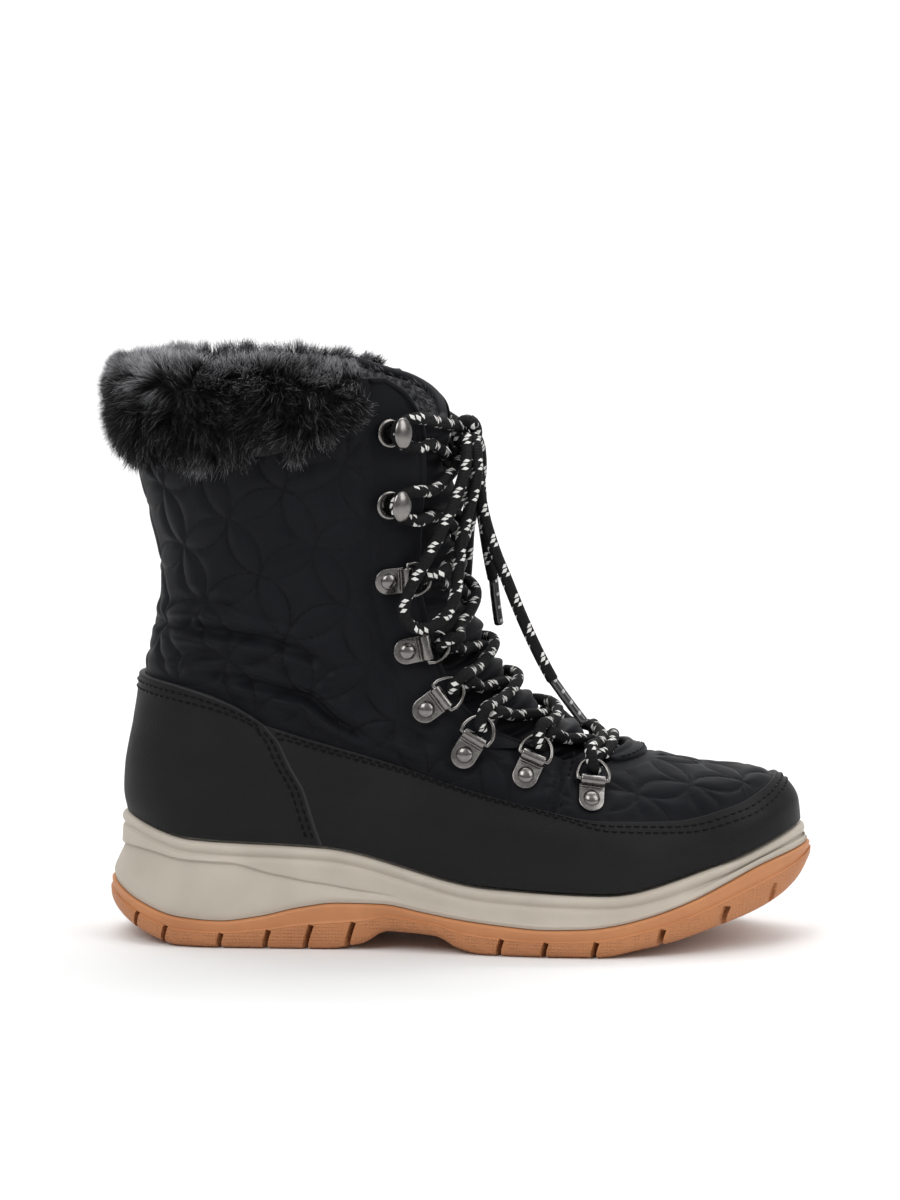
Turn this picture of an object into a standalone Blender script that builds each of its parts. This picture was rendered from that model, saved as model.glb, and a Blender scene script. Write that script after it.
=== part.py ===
"""Winter boot for the right foot, with a fur cuff, lace hardware and a two-colour sole.

Millimetres in the tables, metres in the scene. +X runs to the toe, +Z up, and the
outer side of the foot is -Y. The origin is the middle of the heel's tread, on the floor.
"""
import math
from collections import namedtuple
from functools import lru_cache

import bmesh
import bpy
from mathutils import Matrix, Vector

MM = 0.001
BOOT = "winter_boot"
SIDES = {"lateral": -1, "medial": 1}

# Wall thicknesses and gaps
UPPER_WALL = 2.6
TONGUE_THICK = 3.2
TONGUE_UNDER = 3.6
OVERLAY_GAP = 0.6
RAND_THICK = 1.2
COUNTER_THICK = 1.5
COUNTER_LIFT = 0.3
EYESTAY_THICK = 1.2
SEAT_GAP = 0.3
UPPER_SEAT = 0.5
INSOLE_THICK = 3.5
INSOLE_CLEAR = 1.2
INSOLE_SEAT = 0.8

# Materials: colour, roughness, metallic
FINISHES = {
    "quilted_nylon": ((0.028, 0.028, 0.033), 0.55, 0.0),
    "coated_leather": ((0.022, 0.022, 0.024), 0.5, 0.0),
    "midsole_foam": ((0.52, 0.45, 0.38), 0.6, 0.0),
    "gum_rubber": ((0.55, 0.24, 0.1), 0.55, 0.0),
    "pile_lining": ((0.09, 0.09, 0.1), 0.9, 0.0),
    "fur": ((0.05, 0.05, 0.055), 0.9, 0.0),
    "dark_nickel": ((0.42, 0.4, 0.38), 0.3, 1.0),
    "lace_braid": ((0.03, 0.03, 0.03), 0.8, 0.0),
    "aglet_plastic": ((0.05, 0.05, 0.05), 0.2, 0.0),
}

# The upper: a row for each level, from the feather line to above the collar. Each level
# is a ring from the back of the heel to the front, read at these shares of its length.
STATIONS = (0.0, 0.10, 0.30, 0.55, 0.72, 0.88, 1.0)
Level = namedtuple("Level", (
    "back_x front_x z_back z_heel z_waist z_instep z_ball z_toe z_front "
    "heel waist instep ball toe back_round front_round"))
LEVELS = [
    Level(-33.0, 226.0, 48.5, 41.5, 39.0, 25.2, 23.8, 33.2, 45.0, 31.5, 33.0, 40.5, 46.0, 36.0, 36, 46),
    Level(-34.5, 225.0, 57.0, 51.0, 48.5, 36.0, 33.5, 42.0, 53.5, 33.0, 35.0, 42.0, 47.0, 36.5, 37, 46),
    Level(-34.0, 220.0, 66.0, 61.5, 59.0, 47.0, 43.5, 51.0, 60.8, 34.0, 36.0, 41.5, 45.5, 34.5, 37, 46),
    Level(-32.5, 211.0, 75.0, 71.0, 68.5, 57.0, 52.0, 58.5, 65.0, 34.5, 36.0, 39.5, 42.5, 31.5, 37, 45),
    Level(-31.0, 194.0, 82.0, 78.0, 75.0, 64.0, 58.5, 62.5, 66.6, 34.5, 36.0, 38.0, 40.0, 31.5, 37, 46),
    Level(-30.0, 178.0, 88.0, 84.5, 81.0, 70.0, 64.5, 65.3, 69.5, 34.5, 35.5, 37.0, 38.5, 33.0, 37, 44),
    Level(-29.0, 163.0, 94.0, 91.0, 88.0, 76.0, 70.5, 68.8, 74.2, 35.0, 35.5, 36.5, 37.0, 34.0, 38, 42),
    Level(-28.0, 144.0, 103.0, 101.0, 98.0, 87.0, 80.5, 78.0, 85.0, 35.0, 35.5, 36.0, 36.0, 33.0, 38, 42),
    Level(-25.5, 126.0, 112.0, 110.5, 108.0, 98.0, 92.0, 88.5, 96.0, 35.5, 36.0, 36.5, 36.0, 33.0, 38, 44),
    Level(-22.5, 112.5, 122, 121, 119, 111.0, 106.0, 103.0, 110.5, 36.0, 37.0, 38.0, 37.0, 34.0, 39, 47),
    Level(-20.5, 104.0, 135, 134, 133, 128.5, 125.5, 124.5, 129.0, 37.0, 38.5, 39.5, 38.5, 35.0, 41, 50),
    Level(-21.5, 100.0, 150, 149.5, 149, 146.5, 144.5, 144.0, 147.0, 38.0, 40.0, 41.0, 40.0, 36.0, 43, 52),
    Level(-25.0, 98.0, 165.0, 165.0, 165.0, 164.0, 163.0, 162.5, 165.0, 40.0, 42.0, 43.0, 42.0, 37.0, 45, 52),
    Level(-29.0, 96.0, 182.0, 182.5, 183.0, 183.0, 183.0, 182.5, 183.5, 42.0, 44.0, 45.0, 44.0, 39.0, 47, 52),
    Level(-32.5, 94.0, 200.0, 200.5, 201.0, 201.0, 200.5, 200.0, 200.5, 43.5, 46.0, 47.0, 45.5, 40.0, 49, 52),
    Level(-34.5, 90.5, 219.0, 219.0, 219.5, 219.5, 219.0, 218.5, 217.5, 44.5, 47.5, 48.5, 46.5, 41.0, 50, 52),
    Level(-35.0, 86.0, 233.0, 233.0, 233.5, 233.5, 233.0, 232.0, 231.0, 45.0, 48.0, 49.0, 47.0, 41.5, 50, 52),
]
THROAT_BASE = 6
# How much narrower the inner side is than the outer one, at each station of the lowest level
INNER_PINCH = (0.0, 0.0, 2.0, 3.0, 1.5, -1.5, -1.5)
PINCH_FADES_BY = 8.0
# The curve of the foot's centre line, seen from above
CENTRE_X = (-42, 40, 100, 150, 195, 231)
CENTRE_Y = (0, 0, -1.5, -0.5, 3, 6)
# Front edge of the quarters, a place for each level from the throat's base to the collar
THROAT_LEVELS = (6, 7, 8, 9, 10, 11, 12, 13, 14, 14.6, 15)
THROAT_X = (151, 123, 102.5, 92, 84.5, 81, 81.5, 83, 82, 79, 70)

UPPER_COLUMNS = 20
THROAT_COLUMN = 17
UPPER_ROWS = (0, 1, 2, 2.6, 3.2, 4, 5, 6, 7, 8, 9, 10, 11.5, 13, 14.4, 15)

TONGUE_ROWS = (5.2, 5.6, 6, 7, 8, 9, 10, 11, 12.5, 13.8, 14.4)
TONGUE_COLUMNS = 6
TONGUE_TUCK = 0.10
TONGUE_SIDE_RISE = 1.1

# Overlay edges in the side view
RAND_TOP_X = (23, 36, 68, 99, 130, 151, 177, 202, 211, 217, 222)
RAND_TOP_Z = (86, 82, 73, 63, 55, 51, 50, 55, 59, 63, 68)
COUNTER_EDGE_Z = (36, 48, 61, 70, 80, 86)
COUNTER_EDGE_X = (46, 42, 38, 33, 28, 23)
COUNTER_TOP_X = (-30, -13, 0, 10, 17, 23)
COUNTER_TOP_Z = (103, 101, 98, 94, 90, 86)
PANEL_SEAM = 0.6
RAND_ROWS = 4
RAND_COLUMNS = 20
COUNTER_ROWS = 5
COUNTER_COLUMNS = 11
PANEL_FOOT = 0.12
EYESTAY_ROWS = (6.9, 7.4, 8, 9, 10, 11.5, 13, 14.4, 14.95)
EYESTAY_WIDE = 18.0
EYESTAY_FUR_GAP = 3.5
STRIP_SEAT_LEVEL = 6.2
THROAT_OVERLAY_TOP = 5.94
THROAT_OVERLAY_DEEP = (0.12, 0.3)
THROAT_OVERLAY_ROWS = 2
THROAT_OVERLAY_X = 154.0
THROAT_OVERLAY_COLUMNS = 5

# Fur cuff: its section as levels and distances from the upper's face, and its front end
FUR_SECTION = (
    (13.32, 0.9), (13.2, 4.0), (13.5, 6.6), (14.05, 7.8), (14.7, 7.8),
    (15.25, 6.4), (15.62, 2.2), (15.62, -2.0), (15.14, -3.0), (15.14, 0.9))
FUR_LOCK_ROWS = {1: -0.16, 2: -0.12, 3: -0.08, 4: 0.05, 5: 0.08, 6: 0.1}
FUR_LOCK_OUT = 2.2
FUR_END_X = 60.0
FUR_COLUMNS = 20

# Lace hardware, from the bottom row up: rivet and ring tip, in the side view
LaceRow = namedtuple("LaceRow", "rivet_x rivet_z tip_x tip_z")
RING_ROWS = [
    LaceRow(147, 59, 147, 73),
    LaceRow(122, 68, 128, 80.5),
    LaceRow(99, 76, 108, 90),
    LaceRow(84, 93, 96, 101.5),
    LaceRow(76, 115, 89, 117),
    LaceRow(69, 142, 84, 143),
]
HOOK_X = 69.0
HOOK_Z = (171.0, 198.0)
RING_PLATE_THICK = 0.8
RING_PLATE_WIDTHS = ((-5.4, 5.0), (-3.6, 9.4), (2.6, 9.8), (5.4, 9.6))
BARREL_CENTRE = (7.2, 2.1)
BARREL_RADIUS = 1.7
BARREL_WIDE = 9.6
BARREL_TURNS = (-100, -55, -5, 45, 95, 150)
RIVET_RADIUS = 3.1
RIVET_TALL = 1.5
RING_WIRE = 0.95
RING_HALF = 6.2
RING_REACH = 9.0
HARDWARE_SEAT = 0.7
HOOK_PROFILE = ((0, 0), (5.4, 0), (5, 1), (2.2, 1.9), (2, 6), (5.6, 6.6), (4.6, 8.6), (0, 9.4))
HOOK_NECK = (1.9, 6.0)
HOOK_HEAD_SHIFT = 3.0
HOOK_HEAD_NARROW = 0.75
HOOK_STEPS = 10

# Lace
LACE_RADIUS = 2.3
LACE_EDGE_LIFT = 5.9
LACE_MIDDLE_LIFT = -0.4
LACE_POINTS = 7
LACE_PAIR_SHIFT = 2.7
LACE_RING_CLEAR = 2.4
LACE_HOOK_CLEAR = 13.0
KNOT_CENTRE = (97.4, 0.0, 196.0)
KNOT_SIZE = (5.0, 7.5, 6.0)
TOP_STRAND_END = (93.8, 5.9, 199.2)
TOP_STRAND_POINTS = 5
TOP_STRAND_BULGE = 2.4
LOOP_ROUTE = (
    (98.1, -8.9, 194.7), (98, -18.8, 184), (95, -26.2, 173), (90.4, -33.2, 162), (85, -39.2, 151),
    (79.8, -43, 142), (76.6, -45, 134), (77.3, -45, 127.5), (82.8, -44, 124.5), (89.5, -41, 127),
    (94.5, -36, 134), (96, -31, 145), (97, -26.5, 157))
END_LONG_ROUTE = (
    (98.9, -3.4, 190.8), (101.6, -8.5, 183), (102.8, -11.5, 176), (105, -14, 165), (109, -16.5, 152.5),
    (114, -18, 140.5), (119, -19.5, 128.5), (123.5, -20.2, 118.5), (128, -21, 109.5), (131.6, -21.4, 103))
END_SHORT_ROUTE = (
    (99.4, 2.5, 189.8), (102.2, 3, 179), (103, 4, 168), (104.4, 5, 157), (106, 5, 147), (107.6, 5, 139))
AGLET_LONG_ROUTE = ((131.9, -21.4, 102.5), (137.6, -22, 94.7), (143.6, -22.5, 86.9))
AGLET_SHORT_ROUTE = ((107.7, 5, 138.6), (108.6, 5, 130), (109.8, 5, 121.5))
AGLET_RADIUS = 1.9

# The sole: outlines seen from above, as half widths at shares of the length
SOLE_BACK = -41.0
SOLE_FRONT = 230.5
SOLE_STATIONS = (0.0, 0.10, 0.20, 0.35, 0.50, 0.65, 0.72, 0.80, 0.92, 1.0)
SOLE_OUTER = (36.5, 37.0, 38.5, 38.5, 43.5, 49.5, 50.0, 46.5, 36.0, 33.0)
SOLE_INNER = (36.5, 36.5, 37.0, 35.5, 39.5, 47.5, 49.0, 47.0, 38.0, 35.0)
HEEL_ROUND = 40.0
TOE_ROUND = 47.0
SOLE_COLUMNS = 20
# Lines seen from the side
TREAD_X = (-42, -35, -29, -21, -12, 45, 60, 69, 88, 97, 107, 150, 164, 178, 192, 206, 217, 226, 232)
TREAD_Z = (12, 8, 5, 2.2, 0, 0, 2.5, 7.5, 6.5, 2, 0, 0, 2.5, 5.2, 9, 13, 17.5, 23.5, 31)
OUTSOLE_TOP_X = (-42, -29, -12, 4, 20, 35, 50, 67, 83, 99, 114, 130, 146, 157, 170, 185, 198, 213, 232)
OUTSOLE_TOP_Z = (
    23, 16.5, 11.5, 10.5, 12.5, 16, 18, 18, 15.5, 13, 11.5, 10.5, 11, 12.5, 15.5, 20.5, 26, 32.5, 38)
# The crease of the midsole's side as a share of its height, and how far the side draws in
CREASE_X = (-42, -20, 7, 26, 41, 60, 80, 232)
CREASE_SHARE = (0.48, 0.70, 0.74, 0.56, 0.38, 0.24, 0.2, 0.2)
DRAW_X = (-42, 0, 60, 80, 232)
SIDE_DRAW = (3.6, 2.1, 1.7, 1.6, 1.3)
CREASE_DRAW = (4.6, 3.0, 1.9, 0.9, 0.9)
CREASE_HALF = 0.9
RIM_TALL = 4.0
RIM_GROOVE = 1.3
RIM_GROOVE_TALL = 1.2
# Lug grooves round the sole's edge: places along it, and their size
GROOVES_X = (-30, -18, 4, 22, 38, 54, 112, 129, 148, 172, 194, 211)
GROOVE_WIDE = 2.0
GROOVE_DEEP = 14.0
GROOVE_SHARE = 0.62
GROOVE_TURN = 24.0
GROOVE_LEAN = 18.0
GROOVE_BELOW = -6.0
INSOLE_COLUMNS = 18


class Line:
    """A smooth line through a few knots that never swings past them."""

    def __init__(self, places, values):
        self.places = list(places)
        self.values = list(values)
        rises = [(b - a) / (q - p) for a, b, p, q in zip(values, values[1:], places, places[1:])]
        inner = [2 * a * b / (a + b) if a * b > 0 else 0.0 for a, b in zip(rises, rises[1:])]
        self.slopes = [rises[0]] + inner + [rises[-1]]

    def __call__(self, place):
        place = min(max(place, self.places[0]), self.places[-1])
        k = max(i for i in range(len(self.places) - 1) if self.places[i] <= place)
        gap = self.places[k + 1] - self.places[k]
        t = (place - self.places[k]) / gap
        keep = (1 + 2 * t) * (1 - t) ** 2
        lift = gap * t * (1 - t) * ((1 - t) * self.slopes[k] - t * self.slopes[k + 1])
        return keep * self.values[k] + (1 - keep) * self.values[k + 1] + lift


CENTRE = Line(CENTRE_X, CENTRE_Y)
TREAD = Line(TREAD_X, TREAD_Z)
OUTSOLE_TOP = Line(OUTSOLE_TOP_X, OUTSOLE_TOP_Z)
CREASE = Line(CREASE_X, CREASE_SHARE)
THROAT = Line(THROAT_LEVELS, THROAT_X)
RAND_TOP = Line(RAND_TOP_X, RAND_TOP_Z)
COUNTER_EDGE = Line(COUNTER_EDGE_Z, COUNTER_EDGE_X)
COUNTER_TOP = Line(COUNTER_TOP_X, COUNTER_TOP_Z)
SOLE_OUTER_LINE = Line(SOLE_STATIONS, SOLE_OUTER)
SOLE_INNER_LINE = Line(SOLE_STATIONS, SOLE_INNER)
LEVEL_COLUMNS = {
    name: Line(range(len(LEVELS)), [getattr(row, name) for row in LEVELS])
    for name in Level._fields
}


def solve(rises_through_zero, low, high, rounds=40):
    """Place between low and high where a rising function crosses zero."""
    for _ in range(rounds):
        middle = (low + high) / 2
        if rises_through_zero(middle) < 0:
            low = middle
        else:
            high = middle
    return (low + high) / 2


def share_of_turn(turn):
    """Length share at a turn of 0 at the back to 1 at the front, close-set at both ends."""
    return (1 - math.cos(math.pi * turn)) / 2


def turn_of_share(share):
    return math.acos(1 - 2 * min(max(share, 0.0), 1.0)) / math.pi


def round_end(part):
    """Quarter-ellipse that closes a ring at its end."""
    return math.sqrt(1 - (1 - part) ** 2) if part < 1 else 1.0


@lru_cache(maxsize=None)
def level_ring(v):
    """One level of the last: its numbers, its height line and its outer and inner widths."""
    row = Level(*[LEVEL_COLUMNS[name](v) for name in Level._fields])
    heights = Line(STATIONS, row[2:9])
    outer = (row.heel, row.heel, row.waist, row.instep, row.ball, row.toe, row.toe)
    fade = max(0.0, 1 - v / PINCH_FADES_BY)
    inner = [w - fade * p for w, p in zip(outer, INNER_PINCH)]
    return row, heights, Line(STATIONS, outer), Line(STATIONS, inner)


def last_point(turn, v):
    """Point of the upper's outer face. The turn runs from -1, the front, by the outer side
    to 0, the back, and by the inner side to 1, the front again."""
    if turn > 1:
        turn -= 2
    if turn < -1:
        turn += 2
    row, heights, outer, inner = level_ring(v)
    share = share_of_turn(abs(turn))
    length = row.front_x - row.back_x
    ends = round_end(share * length / row.back_round) * round_end((1 - share) * length / row.front_round)
    half = (outer if turn < 0 else inner)(share) * ends
    x = row.back_x + share * length
    return Vector((x, CENTRE(x) + math.copysign(half, turn), heights(share)))


def last_normal(turn, v, step=0.004):
    """Outward direction of the upper's face."""
    along = last_point(turn + step, v) - last_point(turn - step, v)
    low = max(v - 0.05, 0.0)
    up = last_point(turn, low + 0.1) - last_point(turn, low)
    return up.cross(along).normalized()


def last_offset(turn, v, out):
    return last_point(turn, v) + last_normal(turn, v) * out


def turn_at_x(x, v):
    row = level_ring(v)[0]
    return turn_of_share((x - row.back_x) / (row.front_x - row.back_x))


def side_view_place(x, z):
    """Turn and level of the point of the upper's side that the side view shows at x, z."""
    def above(v):
        row, heights, _, _ = level_ring(v)
        share = (x - row.back_x) / (row.front_x - row.back_x)
        return heights(share) - z if share < 1 else 1.0

    v = solve(above, 0.0, len(LEVELS) - 1.0)
    return turn_at_x(x, v), v


def throat_turn(v):
    """Turn at which the quarters end at the throat, at one level."""
    v = max(v, THROAT_BASE)
    return turn_at_x(THROAT(v), v)


def counter_edge_turn(v, shift):
    """Turn of the counter's front edge at one level, moved along X by shift."""
    def past(turn):
        point = last_point(-turn, v)
        return point.x - COUNTER_EDGE(point.z) - shift

    return solve(past, 0.0, 0.9)


def new_material(name):
    colour, roughness, metallic = FINISHES[name]
    material = bpy.data.materials.new(name)
    material.use_nodes = True
    shader = material.node_tree.nodes["Principled BSDF"]
    shader.inputs["Base Color"].default_value = (*colour, 1.0)
    shader.inputs["Roughness"].default_value = roughness
    shader.inputs["Metallic"].default_value = metallic
    return material


def add_object(name, data, finish, collection):
    piece = bpy.data.objects.new(name, data)
    if finish:
        data.materials.append(MATERIALS[finish])
    collection.objects.link(piece)
    return piece


def mark_cutter(piece):
    piece.hide_render = True
    piece.display_type = "WIRE"


def mesh_from(shape, name):
    """Mesh of a bmesh with its faces turned outward, which is then freed."""
    mesh = bpy.data.meshes.new(name)
    bmesh.ops.recalc_face_normals(shape, faces=shape.faces)
    shape.to_mesh(mesh)
    shape.free()
    mesh.shade_smooth()
    mesh.set_sharp_from_angle(angle=math.radians(38))
    return mesh


def sheet_mesh(name, rows):
    """Open sheet from rows of points in millimetres. A place with no point is left out, and
    a point shared by two places is made once."""
    mesh = bpy.data.meshes.new(name)
    shape = bmesh.new()
    made = {}

    def vertex(point):
        key = tuple(round(c, 4) for c in point)
        if key not in made:
            made[key] = shape.verts.new(Vector(point) * MM)
        return made[key]

    grid = [[point and vertex(point) for point in row] for row in rows]
    for low, high in zip(grid, grid[1:]):
        for i in range(len(low) - 1):
            corners = (low[i], low[i + 1], high[i + 1], high[i])
            if None not in corners:
                shape.faces.new(corners)
    shape.normal_update()
    shape.to_mesh(mesh)
    shape.free()
    mesh.shade_smooth()
    return mesh


def add_shell(name, rows, thick, finish):
    """Open sheet of points, from its top row down, thickened to its inner side."""
    piece = add_object(name, sheet_mesh(name, rows), finish, PARTS)
    wall = piece.modifiers.new("wall", "SOLIDIFY")
    wall.thickness = thick * MM
    wall.offset = -1.0
    wall.use_even_offset = True
    wall.use_quality_normals = True
    return piece


def join_with(piece, other):
    """Boolean union of a second mesh object, which becomes a hidden cutter."""
    mark_cutter(other)
    join = piece.modifiers.new("join", "BOOLEAN")
    join.operation = "UNION"
    join.solver = "EXACT"
    join.object = other


def build_upper():
    """Hollow shaft and vamp, open at the collar, along the throat and underneath."""
    rows = []
    for v in UPPER_ROWS:
        edge = throat_turn(v)
        row = []
        for column in range(-UPPER_COLUMNS, UPPER_COLUMNS + 1):
            place = abs(column)
            if place <= THROAT_COLUMN:
                turn = edge * place / THROAT_COLUMN
            elif v <= THROAT_BASE:
                turn = edge + (1 - edge) * (place - THROAT_COLUMN) / (UPPER_COLUMNS - THROAT_COLUMN)
            else:
                row.append(None)
                continue
            row.append(last_point(math.copysign(turn, column), v))
        rows.append(row)
    add_shell("upper", rows[::-1], UPPER_WALL, "quilted_nylon")


def build_tongue():
    """Padded tongue under the throat, tucked behind both quarters and under the vamp."""
    rows = []
    for v in TONGUE_ROWS:
        half = 1 - throat_turn(v) + TONGUE_TUCK
        row = []
        for column in range(-TONGUE_COLUMNS, TONGUE_COLUMNS + 1):
            side = column / TONGUE_COLUMNS
            rise = TONGUE_SIDE_RISE * side ** 2 if v == TONGUE_ROWS[-1] else 0.0
            row.append(last_offset(1 + half * side, v + rise, -TONGUE_UNDER))
        rows.append(row)
    add_shell("tongue", rows[::-1], TONGUE_THICK, "quilted_nylon")


def overlay_point(turn, v, thick):
    """Point of an overlay's outer face."""
    return last_offset(turn, v, OVERLAY_GAP + thick)


def build_rand():
    """Mudguard from one end of the heel counter round the toe to the other."""
    columns = []
    for column in range(-RAND_COLUMNS, RAND_COLUMNS + 1):
        along = 1 - abs(column) / RAND_COLUMNS
        side = -1 if column < 0 else 1

        def turn_at(v):
            edge = counter_edge_turn(v, PANEL_SEAM)
            return edge + (1 - edge) * along

        def over_top(v):
            point = last_point(side * turn_at(v), v)
            return point.z - RAND_TOP(point.x)

        top = solve(over_top, 0.0, 7.0, rounds=24)
        levels = [PANEL_FOOT + (top - PANEL_FOOT) * k / RAND_ROWS for k in range(RAND_ROWS, -1, -1)]
        columns.append([overlay_point(side * turn_at(v), v, RAND_THICK) for v in levels])
    rows = [list(row)[::-1] for row in zip(*columns)]
    add_shell("rand", rows, RAND_THICK, "coated_leather")


def build_heel_counter():
    """Heel panel, from its front edge on one side round the back to the other."""
    columns = []
    for column in range(-COUNTER_COLUMNS, COUNTER_COLUMNS + 1):
        along = column / COUNTER_COLUMNS

        def over_top(v):
            point = last_point(along * counter_edge_turn(v, -PANEL_SEAM), v)
            return point.z - COUNTER_TOP(point.x)

        top = solve(over_top, 0.0, 8.0, rounds=24)
        levels = [PANEL_FOOT + (top - PANEL_FOOT) * k / COUNTER_ROWS for k in range(COUNTER_ROWS, -1, -1)]
        columns.append([
            overlay_point(along * counter_edge_turn(v, -PANEL_SEAM), v, COUNTER_THICK + COUNTER_LIFT)
            for v in levels])
    add_shell("heel_counter", list(zip(*columns)), COUNTER_THICK, "coated_leather")


def build_eyestay(name, side):
    """Smooth strip along one edge of the throat that carries the lace hardware."""
    rows = []
    for v in EYESTAY_ROWS:
        front = THROAT(v) - SEAT_GAP
        wide = min(EYESTAY_WIDE, front - FUR_END_X - EYESTAY_FUR_GAP)
        places = [front - wide * k / 3 for k in range(4)]
        row = [overlay_point(side * turn_at_x(x, v), v, EYESTAY_THICK) for x in places]
        rows.append(row if side < 0 else row[::-1])
    add_shell("eyestay_" + name, rows[::-1], EYESTAY_THICK, "coated_leather")


def build_throat_overlay():
    """Bound band round the base of the throat, its front edge a rounded U."""
    half = 1 - turn_at_x(THROAT_OVERLAY_X, THROAT_BASE)
    least, more = THROAT_OVERLAY_DEEP
    columns = []
    for column in range(-THROAT_OVERLAY_COLUMNS, THROAT_OVERLAY_COLUMNS + 1):
        along = column / THROAT_OVERLAY_COLUMNS
        deep = least + more * math.sqrt(1 - along ** 4)
        levels = [THROAT_OVERLAY_TOP - deep * k / THROAT_OVERLAY_ROWS for k in range(THROAT_OVERLAY_ROWS + 1)]
        columns.append([overlay_point(1 + half * along, v, EYESTAY_THICK) for v in levels])
    add_shell("throat_overlay", list(zip(*columns)), EYESTAY_THICK, "coated_leather")


def build_fur_cuff():
    """Deep fur round the collar: a roll with locks drawn out of its face."""
    shape = bmesh.new()
    rings = []
    end = turn_at_x(FUR_END_X, 14.4)
    for column in range(-FUR_COLUMNS, FUR_COLUMNS + 1):
        ring = []
        for k, (v, out) in enumerate(FUR_SECTION):
            inside = abs(column) < FUR_COLUMNS
            if inside and k in FUR_LOCK_ROWS and (column + k) % 2:
                v += FUR_LOCK_ROWS[k]
                out += FUR_LOCK_OUT
            ring.append(shape.verts.new(last_offset(end * column / FUR_COLUMNS, v, out) * MM))
        rings.append(ring)
    for near, far in zip(rings, rings[1:]):
        for i in range(len(near)):
            j = (i + 1) % len(near)
            shape.faces.new((near[i], near[j], far[j], far[i]))
    shape.faces.new(rings[0])
    shape.faces.new(rings[-1])
    add_object("fur_cuff", mesh_from(shape, "fur_cuff"), "fur", PARTS)


def surface_frame(turn, v, toward, seat):
    """Frame on the upper: X along the way to a second place, Z outward, origin above the face."""
    origin = last_offset(turn, v, seat)
    out = last_normal(turn, v)
    along = (last_point(*toward) - last_point(turn, v))
    along = (along - out * along.dot(out)).normalized()
    across = out.cross(along)
    return Matrix((
        (along.x, across.x, out.x, origin.x * MM),
        (along.y, across.y, out.y, origin.y * MM),
        (along.z, across.z, out.z, origin.z * MM),
        (0, 0, 0, 1)))


def ring_plate_mesh(name):
    """Folded plate: a flat with a round end that rolls into a barrel for the ring."""
    half = RING_PLATE_THICK / 2
    stations = [(a, half, wide, 0.0) for a, wide in RING_PLATE_WIDTHS]
    for degrees in BARREL_TURNS:
        angle = math.radians(degrees)
        a = BARREL_CENTRE[0] + BARREL_RADIUS * math.cos(angle)
        h = BARREL_CENTRE[1] + BARREL_RADIUS * math.sin(angle)
        stations.append((a, h, BARREL_WIDE, angle + math.pi / 2))
    shape = bmesh.new()
    rings = []
    for a, h, wide, heading in stations:
        off = Vector((-math.sin(heading), 0, math.cos(heading))) * half
        middle = Vector((a, 0, h))
        side = Vector((0, wide / 2, 0))
        corners = (middle - side - off, middle + side - off, middle + side + off, middle - side + off)
        rings.append([shape.verts.new(c * MM) for c in corners])
    for near, far in zip(rings, rings[1:]):
        for i in range(4):
            j = (i + 1) % 4
            shape.faces.new((near[i], near[j], far[j], far[i]))
    shape.faces.new(rings[0])
    shape.faces.new(rings[-1])
    return mesh_from(shape, name)


def rivet_mesh(name):
    """Domed rivet head."""
    shape = bmesh.new()
    tall = RIVET_TALL + RING_PLATE_THICK / 2
    lift = Matrix.Translation((0, 0, (RING_PLATE_THICK / 2 + tall / 2) * MM))
    bmesh.ops.create_cone(
        shape, cap_ends=True, segments=8, radius1=RIVET_RADIUS * MM,
        radius2=RIVET_RADIUS * 0.5 * MM, depth=tall * MM, matrix=lift)
    return mesh_from(shape, name)


def ring_wire(name, frame):
    """Wire D held in a plate's barrel, its bow towards the throat."""
    curve = bpy.data.curves.new(name, "CURVE")
    curve.dimensions = "3D"
    curve.bevel_depth = RING_WIRE * MM
    curve.bevel_resolution = 1
    a, h = BARREL_CENTRE
    bow = [(a + RING_REACH * math.cos(t), RING_HALF * math.sin(t)) for t in
           (math.radians(d) for d in (-68, -40, -13, 13, 40, 68))]
    outline = [(a, -RING_HALF)] + bow + [(a, RING_HALF)]
    spline = curve.splines.new("POLY")
    spline.points.add(len(outline) - 1)
    for point, (along, across) in zip(spline.points, outline):
        point.co = (along * MM, across * MM, h * MM, 1.0)
    spline.use_cyclic_u = True
    wire = add_object(name, curve, "dark_nickel", PARTS)
    wire.matrix_world = frame


def build_rings():
    """D-rings: a riveted plate and a wire on each side, for each row."""
    for number, row in enumerate(RING_ROWS, start=1):
        turn, v = side_view_place(row.rivet_x, row.rivet_z)
        tip_turn, tip_v = side_view_place(row.tip_x, row.tip_z)
        seat = OVERLAY_GAP + (EYESTAY_THICK + HARDWARE_SEAT if v > STRIP_SEAT_LEVEL else 0.0)
        for name, side in SIDES.items():
            frame = surface_frame(side * turn, v, (side * tip_turn, tip_v), seat)
            plate_name = f"ring_plate_{name}_{number}"
            plate = add_object(plate_name, ring_plate_mesh(plate_name), "dark_nickel", PARTS)
            plate.matrix_world = frame
            rivet = add_object(plate_name + "_rivet", rivet_mesh(plate_name + "_rivet"), None, CUTTERS)
            rivet.matrix_world = frame
            join_with(plate, rivet)
            ring_wire(f"ring_wire_{name}_{number}", frame)


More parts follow.
